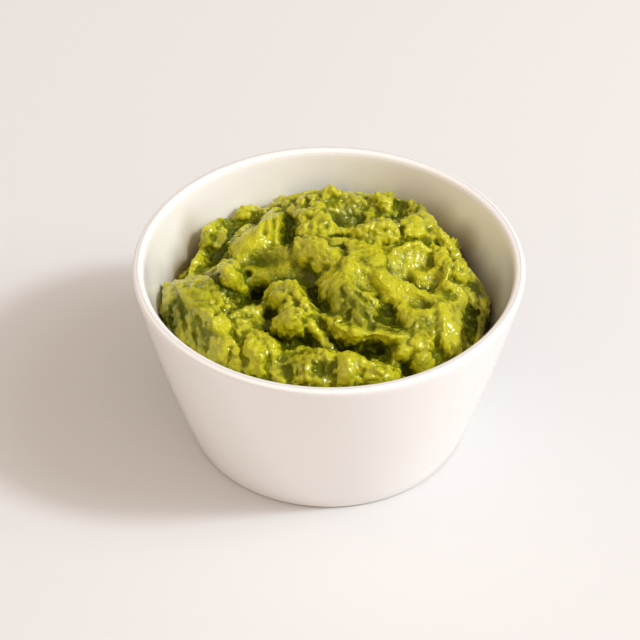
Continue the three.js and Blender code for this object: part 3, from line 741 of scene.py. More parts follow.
GROOVES = [                             # name, half width, depth, path
    ("slab groove 1", 0.7, 1.2, [(273, 216), (274, 230), (272, 246)]),
    ("slab groove 2", 0.7, 0.9, [(265, 222), (265, 236)]),
    ("slab recess", 2.0, 1.9, [(287, 217), (287, 232), (284, 248)]),
    ("bank crease 1", 0.8, 1.2, [(182, 299), (183, 314), (185, 330)]),
    ("bank crease 2", 0.8, 1.0, [(171, 303), (171, 316), (175, 332)]),
    ("bank crease 3", 0.8, 0.9, [(193, 322), (195, 338), (198, 350)]),
    ("step groove 1", 0.7, 1.4, [(229, 344), (229, 353), (227, 364)]),
    ("step groove 2", 0.7, 1.0, [(240, 345), (241, 356), (243, 366)]),
    ("front left seam", 0.7, 1.6, [(270, 354), (267, 366), (268, 379)]),
    ("front left shade", 1.6, 1.8, [(263, 330), (272, 335), (280, 342)]),
    ("brow groove", 0.9, 1.5, [(288, 290), (294, 298), (300, 305)]),
    ("brow seam", 0.7, 1.2, [(306, 308), (304, 315)]),
    ("under the brow", 2.0, 3.6, [(262, 310), (270, 315), (280, 312)]),
    ("under the knob", 1.6, 3.0, [(270, 332), (280, 333), (290, 337)]),
    ("beside the finger", 2.4, 2.6, [(304, 332), (306, 342), (312, 346)]),
    ("curl valley", 1.2, 2.2, [(316, 320), (321, 327), (328, 335), (335, 341)]),
    ("crevice", 1.5, 5.0, [
        (336, 343), (346, 345), (356, 346), (366, 347), (377, 346), (386, 346)]),
    ("valley head", 1.4, 0.4, [(309, 258), (310, 270), (311, 283)]),
    ("valley", 1.6, 3.6, [(312, 286), (315, 296), (319, 304), (325, 313)]),
    ("lobe groove 1", 0.8, 1.3, [(350, 309), (347, 321)]),
    ("lobe groove 2", 0.8, 1.4, [(364, 312), (369, 320), (373, 329)]),
    ("lobe groove 3", 0.7, 1.2, [(357, 292), (364, 299), (373, 302)]),
    ("lobe groove 4", 0.7, 1.0, [(327, 288), (326, 302), (329, 314)]),
    ("lobe groove 5", 0.7, 0.9, [(342, 284), (343, 294), (343, 306)]),
    ("crest shade", 0.9, 0.8, [(368, 266), (376, 268), (384, 266)]),
    ("band groove 1", 0.7, 1.4, [(329, 236), (340, 236), (352, 235)]),
    ("band groove 2", 0.7, 1.6, [(330, 246), (340, 245), (345, 249), (347, 257)]),
    ("back cavity left", 1.4, 0.9, [(334, 222), (341, 218)]),
    ("back cavity right", 1.4, 1.6, [(352, 223), (360, 224), (366, 224)]),
    ("mound split", 0.8, 1.8, [(401, 226), (401, 236)]),
    ("mound shade", 0.8, 1.4, [(382, 243), (390, 244)]),
    ("dish edge", 0.8, 1.3, [(434, 245), (440, 245)]),
    ("front hollow 1", 2.2, 1.0, [(320, 362), (321, 374), (322, 384)]),
    ("front hollow 2", 1.8, 0.9, [(333, 360), (334, 372), (334, 384)]),
    ("front hollow 3", 2.2, 1.4, [(283, 364), (286, 374), (290, 384)]),
    ("front hollow 4", 1.4, 1.1, [(361, 368), (362, 378)]),
    ("right notch", 1.4, 2.0, [(434, 340), (437, 347)]),
    ("front right shade", 2.4, 2.8, [(404, 372), (408, 362)]),
    ("hill hollow 1", 1.3, 1.1, [(383, 313), (392, 316)]),
    ("hill hollow 2", 1.1, 1.2, [(390, 328), (400, 331)]),
    ("hill crease", 0.8, 1.2, [(419, 308), (430, 309)]),
    ("right gap", 2.4, 5.0, [(474, 306), (475, 318), (473, 330), (468, 342)]),
    ("left gap", 1.6, 3.0, [(165, 312), (170, 324), (178, 338)]),
]

POCKETS = [                             # name, half width, depth, place
    ("pit left", 1.9, 8.0, (250, 291)),
    ("pit right", 2.2, 9.0, (260, 292)),
    ("slot", 0.9, 2.6, (248, 273)),
    ("low dish corner", 1.6, 1.8, (432, 292)),
    ("lobe hole", 1.1, 3.0, (377, 297)),
    ("lobe hole 2", 1.0, 1.6, (358, 291)),
    ("back hole 1", 1.3, 1.2, (396, 203)),
    ("back hole 2", 1.3, 1.2, (413, 210)),
    ("back hole 3", 1.0, 0.8, (306, 206)),
    ("slab foot", 1.2, 1.4, (230, 262)),
]

LUMPS = [                               # name, half width, half height and half depth, turn, place
    ("back left 1", (1.9, 4.2, 2.4), -12, (206, 236)),
    ("back left 2", (2.0, 2.0, 1.8), 0, (217, 218)),
    ("back left 3", (1.7, 3.8, 1.8), -8, (222, 238)),
    ("back left peak", (1.8, 2.2, 1.6), 0, (251, 205)),
    ("back left 4", (2.0, 1.4, 1.6), 0, (240, 210)),
    ("back left 5", (2.2, 1.9, 1.8), 0, (198, 262)),
    ("back left 6", (2.2, 1.8, 1.6), 0, (183, 267)),
    ("back left 7", (1.3, 1.5, 1.3), 0, (169, 277)),
    ("back left 8", (2.4, 1.0, 1.4), 10, (213, 270)),
    ("half moon", (3.7, 3.6, 2.4), -20, (231, 276)),
    ("bank lump 1", (1.9, 1.6, 1.5), 0, (209, 316)),
    ("bank lump 2", (1.2, 1.2, 1.1), 0, (228, 307)),
    ("knob", (4.2, 3.0, 3.5), 8, (293, 322)),
    ("knob tail", (2.6, 2.0, 2.0), 10, (277, 324)),
    ("brow lump 1", (3.0, 2.6, 2.0), 0, (279, 296)),
    ("brow lump 2", (2.4, 1.8, 1.8), 0, (286, 308)),
    ("lobe lump 1", (1.6, 1.6, 1.4), 0, (347, 288)),
    ("lobe lump 2", (1.8, 2.0, 1.6), 0, (338, 320)),
    ("lobe lump 3", (1.4, 1.2, 1.0), 0, (341, 301)),
    ("front lump 1", (1.6, 2.6, 1.5), 0, (308, 370)),
    ("front lump 2", (1.6, 1.3, 1.2), 0, (336, 372)),
    ("front lump 3", (1.6, 2.6, 1.5), 0, (349, 372)),
    ("front lump 4", (2.8, 2.4, 2.2), -20, (379, 371)),
    ("crevice lump 1", (1.9, 1.2, 1.3), 0, (371, 355)),
    ("crevice lump 2", (1.3, 1.2, 1.2), 0, (362, 343)),
    ("crevice lump 3", (1.2, 0.8, 1.0), 0, (356, 351)),
    ("front right 1", (1.7, 2.0, 1.6), 0, (420, 346)),
    ("front right 2", (1.2, 2.0, 1.2), 0, (431, 343)),
    ("front right 3", (2.4, 1.8, 1.8), 0, (401, 352)),
    ("front right 4", (2.6, 2.4, 2.0), -30, (420, 362)),
    ("front right 5", (1.9, 1.5, 1.4), 0, (395, 373)),
    ("hill lump", (1.3, 1.4, 1.0), 0, (417, 326)),
    ("back 1", (2.0, 1.9, 1.6), 0, (287, 204)),
    ("back 2", (2.3, 2.3, 2.0), 0, (301, 202)),
    ("back 3", (2.6, 2.2, 2.0), 0, (314, 198)),
    ("back peak", (2.4, 2.2, 2.0), 0, (333, 191)),
    ("back 4", (2.4, 2.4, 2.0), 0, (383, 201)),
    ("back 5", (1.4, 1.4, 1.2), 0, (395, 214)),
    ("back 6", (2.0, 1.6, 1.5), 0, (409, 226)),
    ("back 7", (1.8, 1.5, 1.4), 0, (395, 225)),
    ("back right 1", (2.3, 2.4, 2.0), 0, (418, 205)),
    ("back right 2", (1.4, 1.4, 1.2), 0, (429, 219)),
    ("back right 3", (1.4, 1.4, 1.2), 0, (436, 228)),
    ("right 1", (1.5, 1.6, 1.4), 0, (453, 244)),
    ("right 2", (1.4, 1.6, 1.3), 0, (455, 255)),
    ("right 3", (1.6, 1.4, 1.3), 0, (458, 266)),
    ("right 4", (1.3, 1.3, 1.1), 0, (464, 274)),
    ("right 5", (1.6, 1.6, 1.4), 0, (482, 298)),
]

# painted shadow of the heap on the inner wall, by where round the bowl it lies
PAINTED_SHADOWS = [                              # name, share, degrees round the bowl from its right, spread
    ("left back", 1.0, 153.0, 13.0),
    ("right back", 0.75, 36.0, 22.0),
    ("right", 0.6, 8.0, 16.0),
]

PAINTED_SHADOW_GAP = (0.5, 9.5)                  # mm from the mash: the painted shadow is full, and has faded out

MOST_FACES = 190000                     # of the heap
COARSE = 0.6 * MM                       # size of the faces in the first remesh
OFF_WALL = 0.25 * MM                    # between the mash and the glaze
HEAP_TOP = 62.5                         # mm: nothing stands higher
CRUMBS = ((3.4, 0.65, 1), (2.0, 0.65, 2))      # size, rise, seed
FOLDS = ((3.2, 0.7, 31), (1.6, 0.85, 32), (1.0, 0.8, 33))   # size, rise, seed
PULL = (1.0, 0.72, 0.72)                # the crumbs are drawn out up the heap

SMOOTH_PLACES = [                       # name, radius, share, place: smoothed by the spoon
    ("basin left", 5.0, 1.0, (257, 265)),
    ("basin", 6.0, 1.0, (272, 268)),
    ("basin right", 5.0, 1.0, (290, 268)),
    ("dish", 6.0, 1.0, (403, 262)),
    ("dish right", 5.0, 1.0, (420, 262)),
    ("dish foot", 5.0, 0.8, (428, 278)),
    ("saddle left", 5.0, 1.0, (358, 274)),
    ("saddle", 5.5, 1.0, (376, 283)),
    ("saddle right", 5.0, 1.0, (394, 290)),
    ("saddle end", 4.5, 1.0, (414, 297)),
    ("slab", 4.0, 1.0, (248, 246)),
    ("half moon", 3.0, 0.7, (231, 277)),
    ("bank", 5.0, 1.0, (195, 297)),
    ("slab top", 4.0, 0.7, (268, 226)),
    ("slab left", 3.5, 0.8, (240, 250)),
    ("lobe top", 6.0, 0.45, (340, 286)),
    ("lobe", 7.0, 0.45, (352, 312)),
    ("long crest", 5.0, 0.5, (312, 250)),
    ("middle mound", 6.0, 0.5, (332, 262)),
    ("cube", 2.6, 1.0, (222, 327)),
]

TONES_AND_PAINTED_SHADING = [                               # name, radius, tone, place: painted light (paler) or painted shade (deeper), partly uneven mash colour
    ("dish", 8.0, 1.0, (410, 264)),
    ("dish foot", 4.5, 1.0, (430, 278)),
    ("saddle left", 5.5, 1.0, (362, 275)),
    ("saddle", 5.5, 0.8, (378, 283)),
    ("saddle right", 5.0, 0.7, (396, 290)),
    ("saddle end", 4.5, 0.8, (414, 294)),
    ("slab", 5.0, 0.3, (252, 240)),
    ("basin left", 5.0, -0.4, (257, 270)),
    ("basin", 6.0, -0.5, (276, 268)),
    ("basin right", 4.0, -0.1, (294, 264)),
    ("under the slab", 4.0, -0.6, (272, 255)),
    ("recess", 3.0, 0.1, (287, 226)),
    ("lobe", 8.0, -0.7, (345, 302)),
    ("lobe right", 6.0, -0.8, (370, 318)),
    ("lobe corner", 4.0, -1.0, (384, 325)),
    ("hill", 6.0, -0.3, (415, 326)),
    ("back left valley", 5.0, -0.7, (222, 245)),
    ("back left", 4.0, -0.4, (210, 240)),
    ("beside the half moon", 5.5, -1.0, (221, 288)),
    ("below the pit", 5.0, -1.0, (249, 306)),
    ("plateau hollow", 3.5, -0.5, (270, 320)),
    ("front hollow", 4.0, -0.6, (323, 370)),
    ("front hollow 2", 4.0, -0.6, (290, 362)),
    ("front crest", 5.0, -0.4, (306, 354)),
    ("front left lobe", 5.0, 0.5, (260, 350)),
    ("cube", 2.5, 1.0, (222, 327)),
    ("half moon", 3.5, 0.5, (232, 276)),
    ("bank foot", 6.0, -0.9, (172, 320)),
    ("bank", 6.0, -0.2, (200, 296)),
    ("brow", 4.0, -0.4, (284, 292)),
    ("knob", 4.0, -0.1, (292, 320)),
    ("column", 5.0, 0.5, (450, 325)),
    ("right mass", 6.0, -1.0, (476, 322)),
    ("right edge", 4.0, -1.0, (478, 290)),
    ("right shoulder", 5.0, -0.8, (468, 266)),
    ("right back edge", 4.0, -1.0, (450, 230)),
    ("back right", 5.0, -0.9, (438, 220)),
    ("back right corner", 4.0, -0.8, (424, 206)),
    ("back gap", 3.5, -0.8, (399, 198)),
    ("back left gap", 3.5, -0.6, (266, 204)),
    ("back middle", 5.0, -0.5, (354, 205)),
    ("mound side", 4.0, 0.5, (378, 238)),
    ("saddle top", 4.0, 0.6, (376, 272)),
    ("block", 4.0, 0.2, (316, 222)),
    ("mound", 4.0, 0.3, (376, 232)),
    ("mound right", 4.0, 0.5, (414, 228)),
    ("grainy mound", 4.0, 0.4, (356, 256)),
    ("valley head", 4.0, 0.0, (308, 266)),
]


# ---- the heap -------------------------------------------------------------------------------


RELIEF_CELL = 0.35                      # mm: spacing of the relief's grid
RELIEF_HALF = 58.0                      # mm: the grid reaches this far from its middle
RELIEF_MIDDLE = (0.0, 0.0, 50.0)        # mm
RELIEF_LEAN = 62.0                      # degrees: how steeply the relief's heights point up
ABOVE_HEAP = 60.0                       # mm over the grid's middle, where rays start down
SIGHT = (700.0, 960.0, 0.4)             # mm: nearest, farthest and step along a line of sight
LINE_SPACING = 0.4                      # mm between the points of an open line
LOOP_SPACING = 0.6                      # mm between the points of a closed line
FALL_REACH = 16.0                       # mm: how far past the heap's edge the surface is lowered


def camera_turn(stage):
    """The camera's rotation: tilted, then turned, and rolled about its line of sight."""
    turn, tilt, roll = (math.radians(a) for a in (stage.turn, stage.tilt, stage.roll))
    turned = Euler((0, 0, turn)).to_matrix() @ Euler((tilt, 0, 0)).to_matrix()
    return turned @ Euler((0, 0, roll)).to_matrix()


def unit_rows(rows):
    return rows / np.maximum(np.linalg.norm(rows, axis=1), 1e-12)[:, None]


def hash_gradients(cells, seed):
    """One fixed random direction for each cell of a 3-D grid."""
    whole = cells.astype(np.int64)
    mixed = whole[..., 0] * 73856093 ^ whole[..., 1] * 19349663
    mixed = mixed ^ whole[..., 2] * 83492791 ^ seed * 2654435761
    mixed = (mixed ^ (mixed >> 13)) * 1274126177 & 0xFFFFFFFF
    height = (mixed & 0xFFFF) / 0x7FFF - 1.0
    angle = (mixed >> 16) / 0xFFFF * 2 * np.pi
    flat = np.sqrt(np.maximum(1 - height ** 2, 0))
    return np.stack([flat * np.cos(angle), flat * np.sin(angle), height], axis=-1)


def noise_at(places, size, seed):
    """Gradient noise, about -0.6 to 0.6, that varies over the given size."""
    scaled = places / size
    base = np.floor(scaled)
    inside = scaled - base
    ease = inside ** 3 * (inside * (inside * 6 - 15) + 10)
    total = np.zeros(len(places))
    for corner in np.ndindex(2, 2, 2):
        corner = np.array(corner)
        gradient = hash_gradients(base + corner, seed)
        share = np.prod(np.where(corner, ease, 1 - ease), axis=1)
        total += share * np.einsum("ij,ij->i", gradient, inside - corner)
    return total


def grains_at(places, size, seed):
    """Rounded grains packed at the given size: 1 at the middle of a grain, 0 between grains."""
    scaled = places / size
    base = np.floor(scaled)
    top = np.zeros(len(places))
    for corner in np.ndindex(3, 3, 3):
        cell = base + np.array(corner) - 1
        turn = hash_gradients(cell, seed)
        gap = ((scaled - cell - 0.5 - 0.42 * turn) ** 2).sum(axis=1)
        height = 0.25 + 0.75 * hash_gradients(cell, seed + 50)[:, 2] ** 2
        top = np.maximum(top, height * np.sqrt(np.maximum(1 - gap / 0.6, 0)))
    return top


def curve_through(points, spacing):
    """Close points on a smooth curve through points, of which the first and last only guide it."""
    found = []
    for p0, p1, p2, p3 in zip(points, points[1:], points[2:], points[3:]):
        steps = max(int(np.hypot(*(p2 - p1)) / spacing), 1)
        t = (np.arange(steps) / steps)[:, None]
        bend = (2 * p0 - 5 * p1 + 4 * p2 - p3) * t ** 2 + (3 * p1 - p0 - 3 * p2 + p3) * t ** 3
        found.append(p1 + ((p2 - p0) * t + bend) / 2)
    return np.vstack(found)


class Relief:
    """The top of the heap as heights over a plane that leans toward the front, all in mm."""

    def __init__(self, tree, stage):
        self.cell, self.half = RELIEF_CELL, RELIEF_HALF
        self.middle = np.array(RELIEF_MIDDLE)
        lean = math.radians(RELIEF_LEAN)
        self.right = np.array([1.0, 0.0, 0.0])
        self.up = np.array([0.0, math.sin(lean), math.cos(lean)])
        self.out = np.array([0.0, -math.cos(lean), math.sin(lean)])
        self.eye = np.array(stage.place) / MM
        self.turned = np.array(camera_turn(stage))
        self.focal = stage.lens / stage.sensor * PICTURE_SIZE
        count = round(2 * self.half / self.cell) + 1
        steps = np.arange(count) * self.cell - self.half
        self.across, self.upward = np.meshgrid(steps, steps, indexing="ij")
        starts = self.places(self.across, self.upward, np.full(self.across.shape, ABOVE_HEAP)) * MM
        down = Vector(-self.out)
        found = [tree.ray_cast(Vector(start), down)[3] for start in starts.reshape(-1, 3)]
        depth = np.array([np.nan if far is None else far for far in found])
        depth = depth.reshape(self.across.shape) / MM
        self.known = ~np.isnan(depth)
        self.base = np.where(self.known, ABOVE_HEAP - depth, 0.0)
        weight = np.maximum(self.blurred(self.known.astype(float), 2.2), 1e-3)
        self.smooth = self.blurred(self.base, 2.2) / weight
        self.heights = self.smooth.copy()

    def blurred(self, values, sigma):
        """Values on the grid, blurred over sigma mm."""
        size = values.shape[0]
        waves = np.fft.fftfreq(size, self.cell)
        weights = np.exp(-2 * (math.pi * sigma * waves) ** 2)
        return np.real(np.fft.ifft2(np.fft.fft2(values) * weights[:, None] * weights[None]))

    def on_grid(self, places):
        """Distance across, distance up and height of places given in mm."""
        offset = places - self.middle
        return offset @ self.right, offset @ self.up, offset @ self.out

    def sample(self, values, across, upward):
        """Values of a grid at points between its cells."""
        last = values.shape[0] - 1.001
        x = np.clip((across + self.half) / self.cell, 0, last)
        y = np.clip((upward + self.half) / self.cell, 0, last)
        i, j = x.astype(int), y.astype(int)
        a, b = x - i, y - j
        return ((values[i, j] * (1 - a) + values[i + 1, j] * a) * (1 - b)
                + (values[i, j + 1] * (1 - a) + values[i + 1, j + 1] * a) * b)

    def find(self, u, v):
        """Where a view point lies on the surface: across and up on the grid."""
        centre = PICTURE_SIZE / 2
        ray = self.turned @ np.array([(u - centre) / self.focal, (centre - v) / self.focal, -1.0])
        ray /= np.linalg.norm(ray)
        far = np.arange(*SIGHT)
        across, upward, height = self.on_grid(self.eye + far[:, None] * ray)
        under = height < self.sample(self.heights, across, upward)
        under &= (abs(across) < self.half) & (abs(upward) < self.half)
        if not under.any():
            raise RuntimeError(f"view point {u}, {v} lies beside the heap")
        first = under.argmax()
        return np.array([across[first], upward[first]])

    def line(self, path):
        """A smooth line through view points, as close points on the grid."""
        ends = np.array([self.find(*point) for point in path])
        guided = np.vstack([2 * ends[0] - ends[1], ends, 2 * ends[-1] - ends[-2]])
        return np.vstack([curve_through(guided, LINE_SPACING), ends[-1:]])

    def window(self, points, reach):
        """The cells within reach of some points."""
        low = np.maximum(((points.min(axis=0) - reach + self.half) / self.cell).astype(int), 0)
        high = ((points.max(axis=0) + reach + self.half) / self.cell).astype(int) + 2
        return slice(low[0], high[0]), slice(low[1], high[1])

    def distances(self, line, area):
        """Distance of each cell in the area to a line, with the nearest point's number."""
        x, y = self.across[area].ravel(), self.upward[area].ravel()
        best, which = np.full(len(x), 1e9), np.zeros(len(x), dtype=int)
        for start in range(0, len(line), 16):
            part = line[start:start + 16]
            gaps = np.hypot(x[:, None] - part[None, :, 0], y[:, None] - part[None, :, 1])
            near = gaps.argmin(axis=1)
            value = gaps[np.arange(len(x)), near]
            closer = value < best
            best[closer], which[closer] = value[closer], near[closer] + start
        shape = self.across[area].shape
        return best.reshape(shape), which.reshape(shape)

    def beside(self, line, area):
        """Distance of each cell to a line, the nearest point's number, and how far left it lies."""
        gap, which = self.distances(line, area)
        heading = unit_rows(np.gradient(line, axis=0))
        x, y = self.across[area] - line[which, 0], self.upward[area] - line[which, 1]
        return gap, which, heading[which, 0] * y - heading[which, 1] * x

    def depth_inside(self, line, area):
        """Distance of each cell to a closed line, less than 0 outside it."""
        gap, _ = self.distances(line, area)
        return np.where(self.inside(line, area), gap, -gap)

    def from_point(self, point, area):
        return self.across[area] - point[0], self.upward[area] - point[1]

    def noise_over(self, area, layer, *kinds):
        """A sum of noises over an area, each of a size, a share and a seed."""
        x = self.across[area]
        flat = np.stack([x, self.upward[area], np.full(x.shape, layer)], axis=-1).reshape(-1, 3)
        total = sum(share * noise_at(flat, size, seed) for size, share, seed in kinds)
        return total.reshape(x.shape)

    def taper(self, which, count):
        """Lets a stroke run out at both ends of its line."""
        along = which / max(count - 1, 1)
        return np.clip(np.minimum(along, 1 - along) * 6 + 0.25, 0, 1) if count > 2 else 1.0

    def stroke(self, line, width, height, sharp=2.0):
        """Raises the surface along a line: full in the middle, nothing past a few widths."""
        area = self.window(line, 3 * width)
        gap, which = self.distances(line, area)
        lift = height * np.exp(-(gap / width) ** sharp)
        self.heights[area] += lift * self.taper(which, len(line))

    def ledge(self, line, drop, reach, crisp=0.5):
        """Lets the surface fall away on the right of a line and lifts it a little on the left."""
        area = self.window(line, 4 * reach)
        gap, which, side = self.beside(line, area)
        left = smooth_step(-crisp, crisp, side)
        fall = np.exp(-gap / reach) * drop * (1 - left)
        lift = np.exp(-(gap / reach) ** 2) * drop * 0.3 * left
        self.heights[area] += (lift - fall) * self.taper(which, len(line))

    def places(self, across, upward, height):
        return (self.middle + across[..., None] * self.right + upward[..., None] * self.up
                + height[..., None] * self.out)

    def inside(self, line, area):
        """Which cells of the area a closed line goes round."""
        x, y = self.across[area], self.upward[area]
        within = np.zeros(x.shape, dtype=bool)
        for (x0, y0), (x1, y1) in zip(line, np.roll(line, -1, axis=0)):
            if y0 != y1:
                crosses = (y0 > y) != (y1 > y)
                within ^= crosses & (x < x0 + (y - y0) * (x1 - x0) / (y1 - y0))
        return within

    def loop(self, outline):
        """A smooth closed line through view points."""
        ends = np.array([self.find(*point) for point in outline])
        return curve_through(np.vstack([ends[-1:], ends, ends[:2]]), LOOP_SPACING)

    def patch(self, rise, dome, edge, faces, outline):
        """A mass with an outline: it stands up from the base, domed, with a rounded edge."""
        line = self.loop(outline)
        area = self.window(line, 3.0)
        uneven = self.noise_over(area, 3.0, (4.0, 1.0, 61), (1.9, 0.6, 62))
        depth = self.depth_inside(line, area) + min(1.2 * edge, 1.0) * uneven
        centre = line.mean(axis=0)
        x, y = self.from_point(centre, area)
        size = np.sqrt(((line - centre) ** 2).sum(axis=1).mean())
        bulge = dome * (1 - (x ** 2 + y ** 2) / size ** 2)
        lip = np.clip(depth / edge, 0, 1)
        rounding = edge * (1 - np.sqrt(1 - (1 - lip) ** 2)) * 0.9
        skirt = np.maximum(-depth, 0) * 3.0
        top = self.smooth[area] + rise + bulge - faces[0] * x - faces[1] * y - rounding - skirt
        self.heights[area] = np.maximum(self.heights[area], top)

    def facet(self, rise, edge, faces, outline):
        """Cuts the surface flat inside an outline."""
        line = self.loop(outline)
        area = self.window(line, 3.0)
        depth = self.depth_inside(line, area)
        centre = line.mean(axis=0)
        x, y = self.from_point(centre, area)
        level = self.sample(self.smooth, centre[0], centre[1]) + rise
        share = smooth_step(-edge, edge, depth)
        flat = level - faces[0] * x - faces[1] * y
        self.heights[area] += share * (flat - self.heights[area])

    def fall_off(self, line, drop, reach):
        """Lowers all that lies on the right of a line, and marks it as outside."""
        area = self.window(line, FALL_REACH)
        gap, _, side = self.beside(line, area)
        ragged = self.noise_over(area, 5.0, (2.6, 1.2, 81), (1.3, 0.8, 82))
        past = np.maximum(np.where(side < 0, gap, -gap) + ragged, 0)
        self.heights[area] -= drop * (1 - np.exp(-past / reach * 2))
        self.outside[area] = np.maximum(self.outside[area], smooth_step(0.0, 1.0, past))

    def lump(self, place, halves, turn, height):
        """A small round lump, set on the surface as it is."""
        centre = self.find(*place)
        area = self.window(centre[None], max(halves) * 1.3)
        x, y = self.from_point(centre, area)
        c, s = math.cos(math.radians(turn)), math.sin(math.radians(turn))
        reach = np.hypot((x * c + y * s) / halves[0], (y * c - x * s) / halves[1])
        reach = reach * (1 + self.noise_over(area, 9.0, (2.2, 0.35, 71)))
        ground = self.sample(self.under, self.across[area], self.upward[area])
        level = self.sample(self.under, centre[0], centre[1])
        top = 0.5 * ground + 0.5 * level + height * (1.0 - 1.6 * reach ** 2.6)
        self.heights[area] = np.maximum(self.heights[area], top)

    def near(self, place, radius, full):
        """1 at a view point, and down to 0 somewhat past the radius."""
        centre = self.find(*place)
        gap = np.hypot(self.across - centre[0], self.upward - centre[1])
        return 1 - smooth_step(full * radius, 1.2 * radius, gap)

    def build(self):
        """Works the whole relief, from the broad patches down to the small lumps."""
        solid = self.places(self.across, self.upward, self.smooth).reshape(-1, 3)
        uneven = noise_at(solid, 7.0, 5) + 0.7 * noise_at(solid, 3.5, 6)
        self.heights = self.smooth - 1.0 + 1.2 * uneven.reshape(self.known.shape)
        for name, rise, dome, edge, faces, outline in PATCHES:
            self.patch(1.1 * rise, 0.8 * dome, 0.7 * edge, faces, outline)
        self.heights = np.maximum(self.heights, self.blurred(self.heights, 1.5) - 0.3)
        self.heights = self.blurred(self.heights, 0.3)
        for name, rise, edge, faces, outline in FACETS:
            self.facet(rise, edge, faces, outline)
        outlines = [(self.line(path), drop, reach) for name, drop, reach, path in OUTLINES]
        self.outside = np.zeros(self.known.shape)
        for line, drop, reach in outlines:
            self.fall_off(line, drop, reach)
        for name, drop, reach, path in LEDGES:
            self.ledge(self.line(path), drop * 0.9, reach)
        for name, width, depth, path in GROOVES:
            self.stroke(self.line(path), width, -1.1 * depth, 1.5)
        for name, width, depth, place in POCKETS:
            self.stroke(self.find(*place)[None], width, -depth)
        for name, width, height, path in RIDGES:
            self.stroke(self.line(path), width, height, 1.6)
        self.under = self.blurred(self.heights, 1.2)
        for name, halves, turn, place in LUMPS:
            self.lump(place, halves[:2], turn, halves[2] * 0.7)
        self.heights = self.blurred(self.heights, 0.2)
        self.calm, self.tone = np.zeros(self.known.shape), np.zeros(self.known.shape)
        for name, radius, share, place in SMOOTH_PLACES:
            self.calm = np.maximum(self.calm, share * self.near(place, radius, 0.7))
        # painted light and painted shade at listed places, partly the mash's uneven colour
        for name, radius, tone, place in TONES_AND_PAINTED_SHADING:
            self.tone += (tone - self.tone) * self.near(place, radius, 0.45)
        # masks for painted light on crests and painted shade in hollows
        self.crest = np.clip(0.5 + (self.heights - self.blurred(self.heights, 1.2)) / 0.8, 0, 1)
        self.hollow = smooth_step(0.3, 3.0, self.blurred(self.heights, 4.0) - self.heights)


def copy_of_heap():
    """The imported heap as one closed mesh."""
    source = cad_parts["guacamole"]
    piece = bpy.data.objects.new("guacamole_heap", source.data.copy())
    bpy.context.scene.collection.objects.link(piece)
    piece.data.materials.clear()
    make_active(piece)
    bpy.ops.object.mode_set(mode="EDIT")
    bpy.ops.mesh.select_all(action="SELECT")
    bpy.ops.mesh.remove_doubles(threshold=1e-6)
    bpy.ops.object.mode_set(mode="OBJECT")
    return piece


def snap(piece, relief, bowl, level):
    """Moves the top of the mesh onto the relief, and leaves what touches the wall."""
    places = vertices_of(piece)
    across, upward, height = relief.on_grid(places / MM)
    target = relief.sample(relief.heights, across, upward)
    wall = wall_radius(bowl, places[:, 2]) - bowl.lip
    inset = wall - np.hypot(places[:, 0], places[:, 1])
    facing = vertices_of(piece, "normal") @ relief.out
    share = smooth_step(0.2 * MM, 1.6 * MM, inset) * smooth_step(0.0, 0.3, facing)
    outside = relief.sample(relief.outside, across, upward) * (target < height)
    share = np.maximum(share, outside) * smooth_step(24 * MM, 30 * MM, places[:, 2])
    move = np.clip(target - height, -1.6 * level, level) * share
    move_vertices(piece, places + move[:, None] * relief.out * MM)


def keep_off_wall(piece, bowl):
    """Keeps the mash just off the glaze."""
    places = vertices_of(piece)
    reach = np.hypot(places[:, 0], places[:, 1])
    room = wall_radius(bowl, places[:, 2]) - bowl.lip - OFF_WALL
    places[:, :2] *= np.minimum(room / np.maximum(reach, 1e-9), 1)[:, None]
    move_vertices(piece, places)


def break_up(piece, relief, bowl):
    """Breaks the surface up into soft crumbs, fewer where a spoon smoothed it, and notes them."""
    places = vertices_of(piece) / MM
    across, upward, height = relief.on_grid(places)
    calm = relief.sample(relief.calm, across, upward)
    rough = np.clip(0.85 + 0.8 * noise_at(places, 12.0, 21), 0.4, 1.2) * (1 - 0.65 * calm)
    wander = np.stack([noise_at(places, 4.0, seed) for seed in (11, 12, 13)], axis=1) * 1.5
    drawn = (places + wander) * PULL
    lift = sum(rise * noise_at(drawn, size, seed) for size, rise, seed in FOLDS)
    for size, rise, seed in CRUMBS:
        lift += rise * (grains_at(drawn, size, seed) - 0.35)
    lift *= rough
    wall = wall_radius(bowl, places[:, 2] * MM) / MM - bowl.lip / MM
    inset = wall - np.hypot(places[:, 0], places[:, 1])
    lift *= smooth_step(0.0, 1.5, inset + 0.8)
    places = places + lift[:, None] * vertices_of(piece, "normal")
    places[:, 2] = np.minimum(places[:, 2], HEAP_TOP)
    move_vertices(piece, places * MM)
    set_attribute(piece, "calm", calm)
    # crest and hollow, shifted by the listed tones: masks for painted light and painted shade
    tone = relief.sample(relief.tone, across, upward)
    crest = relief.sample(relief.crest, across, upward) + lift * 0.8 + tone * 0.4
    set_attribute(piece, "crest", np.clip(crest, 0, 1))
    hollow = relief.sample(relief.hollow, across, upward) - tone * 0.8
    set_attribute(piece, "hollow", np.clip(hollow, 0, 1))


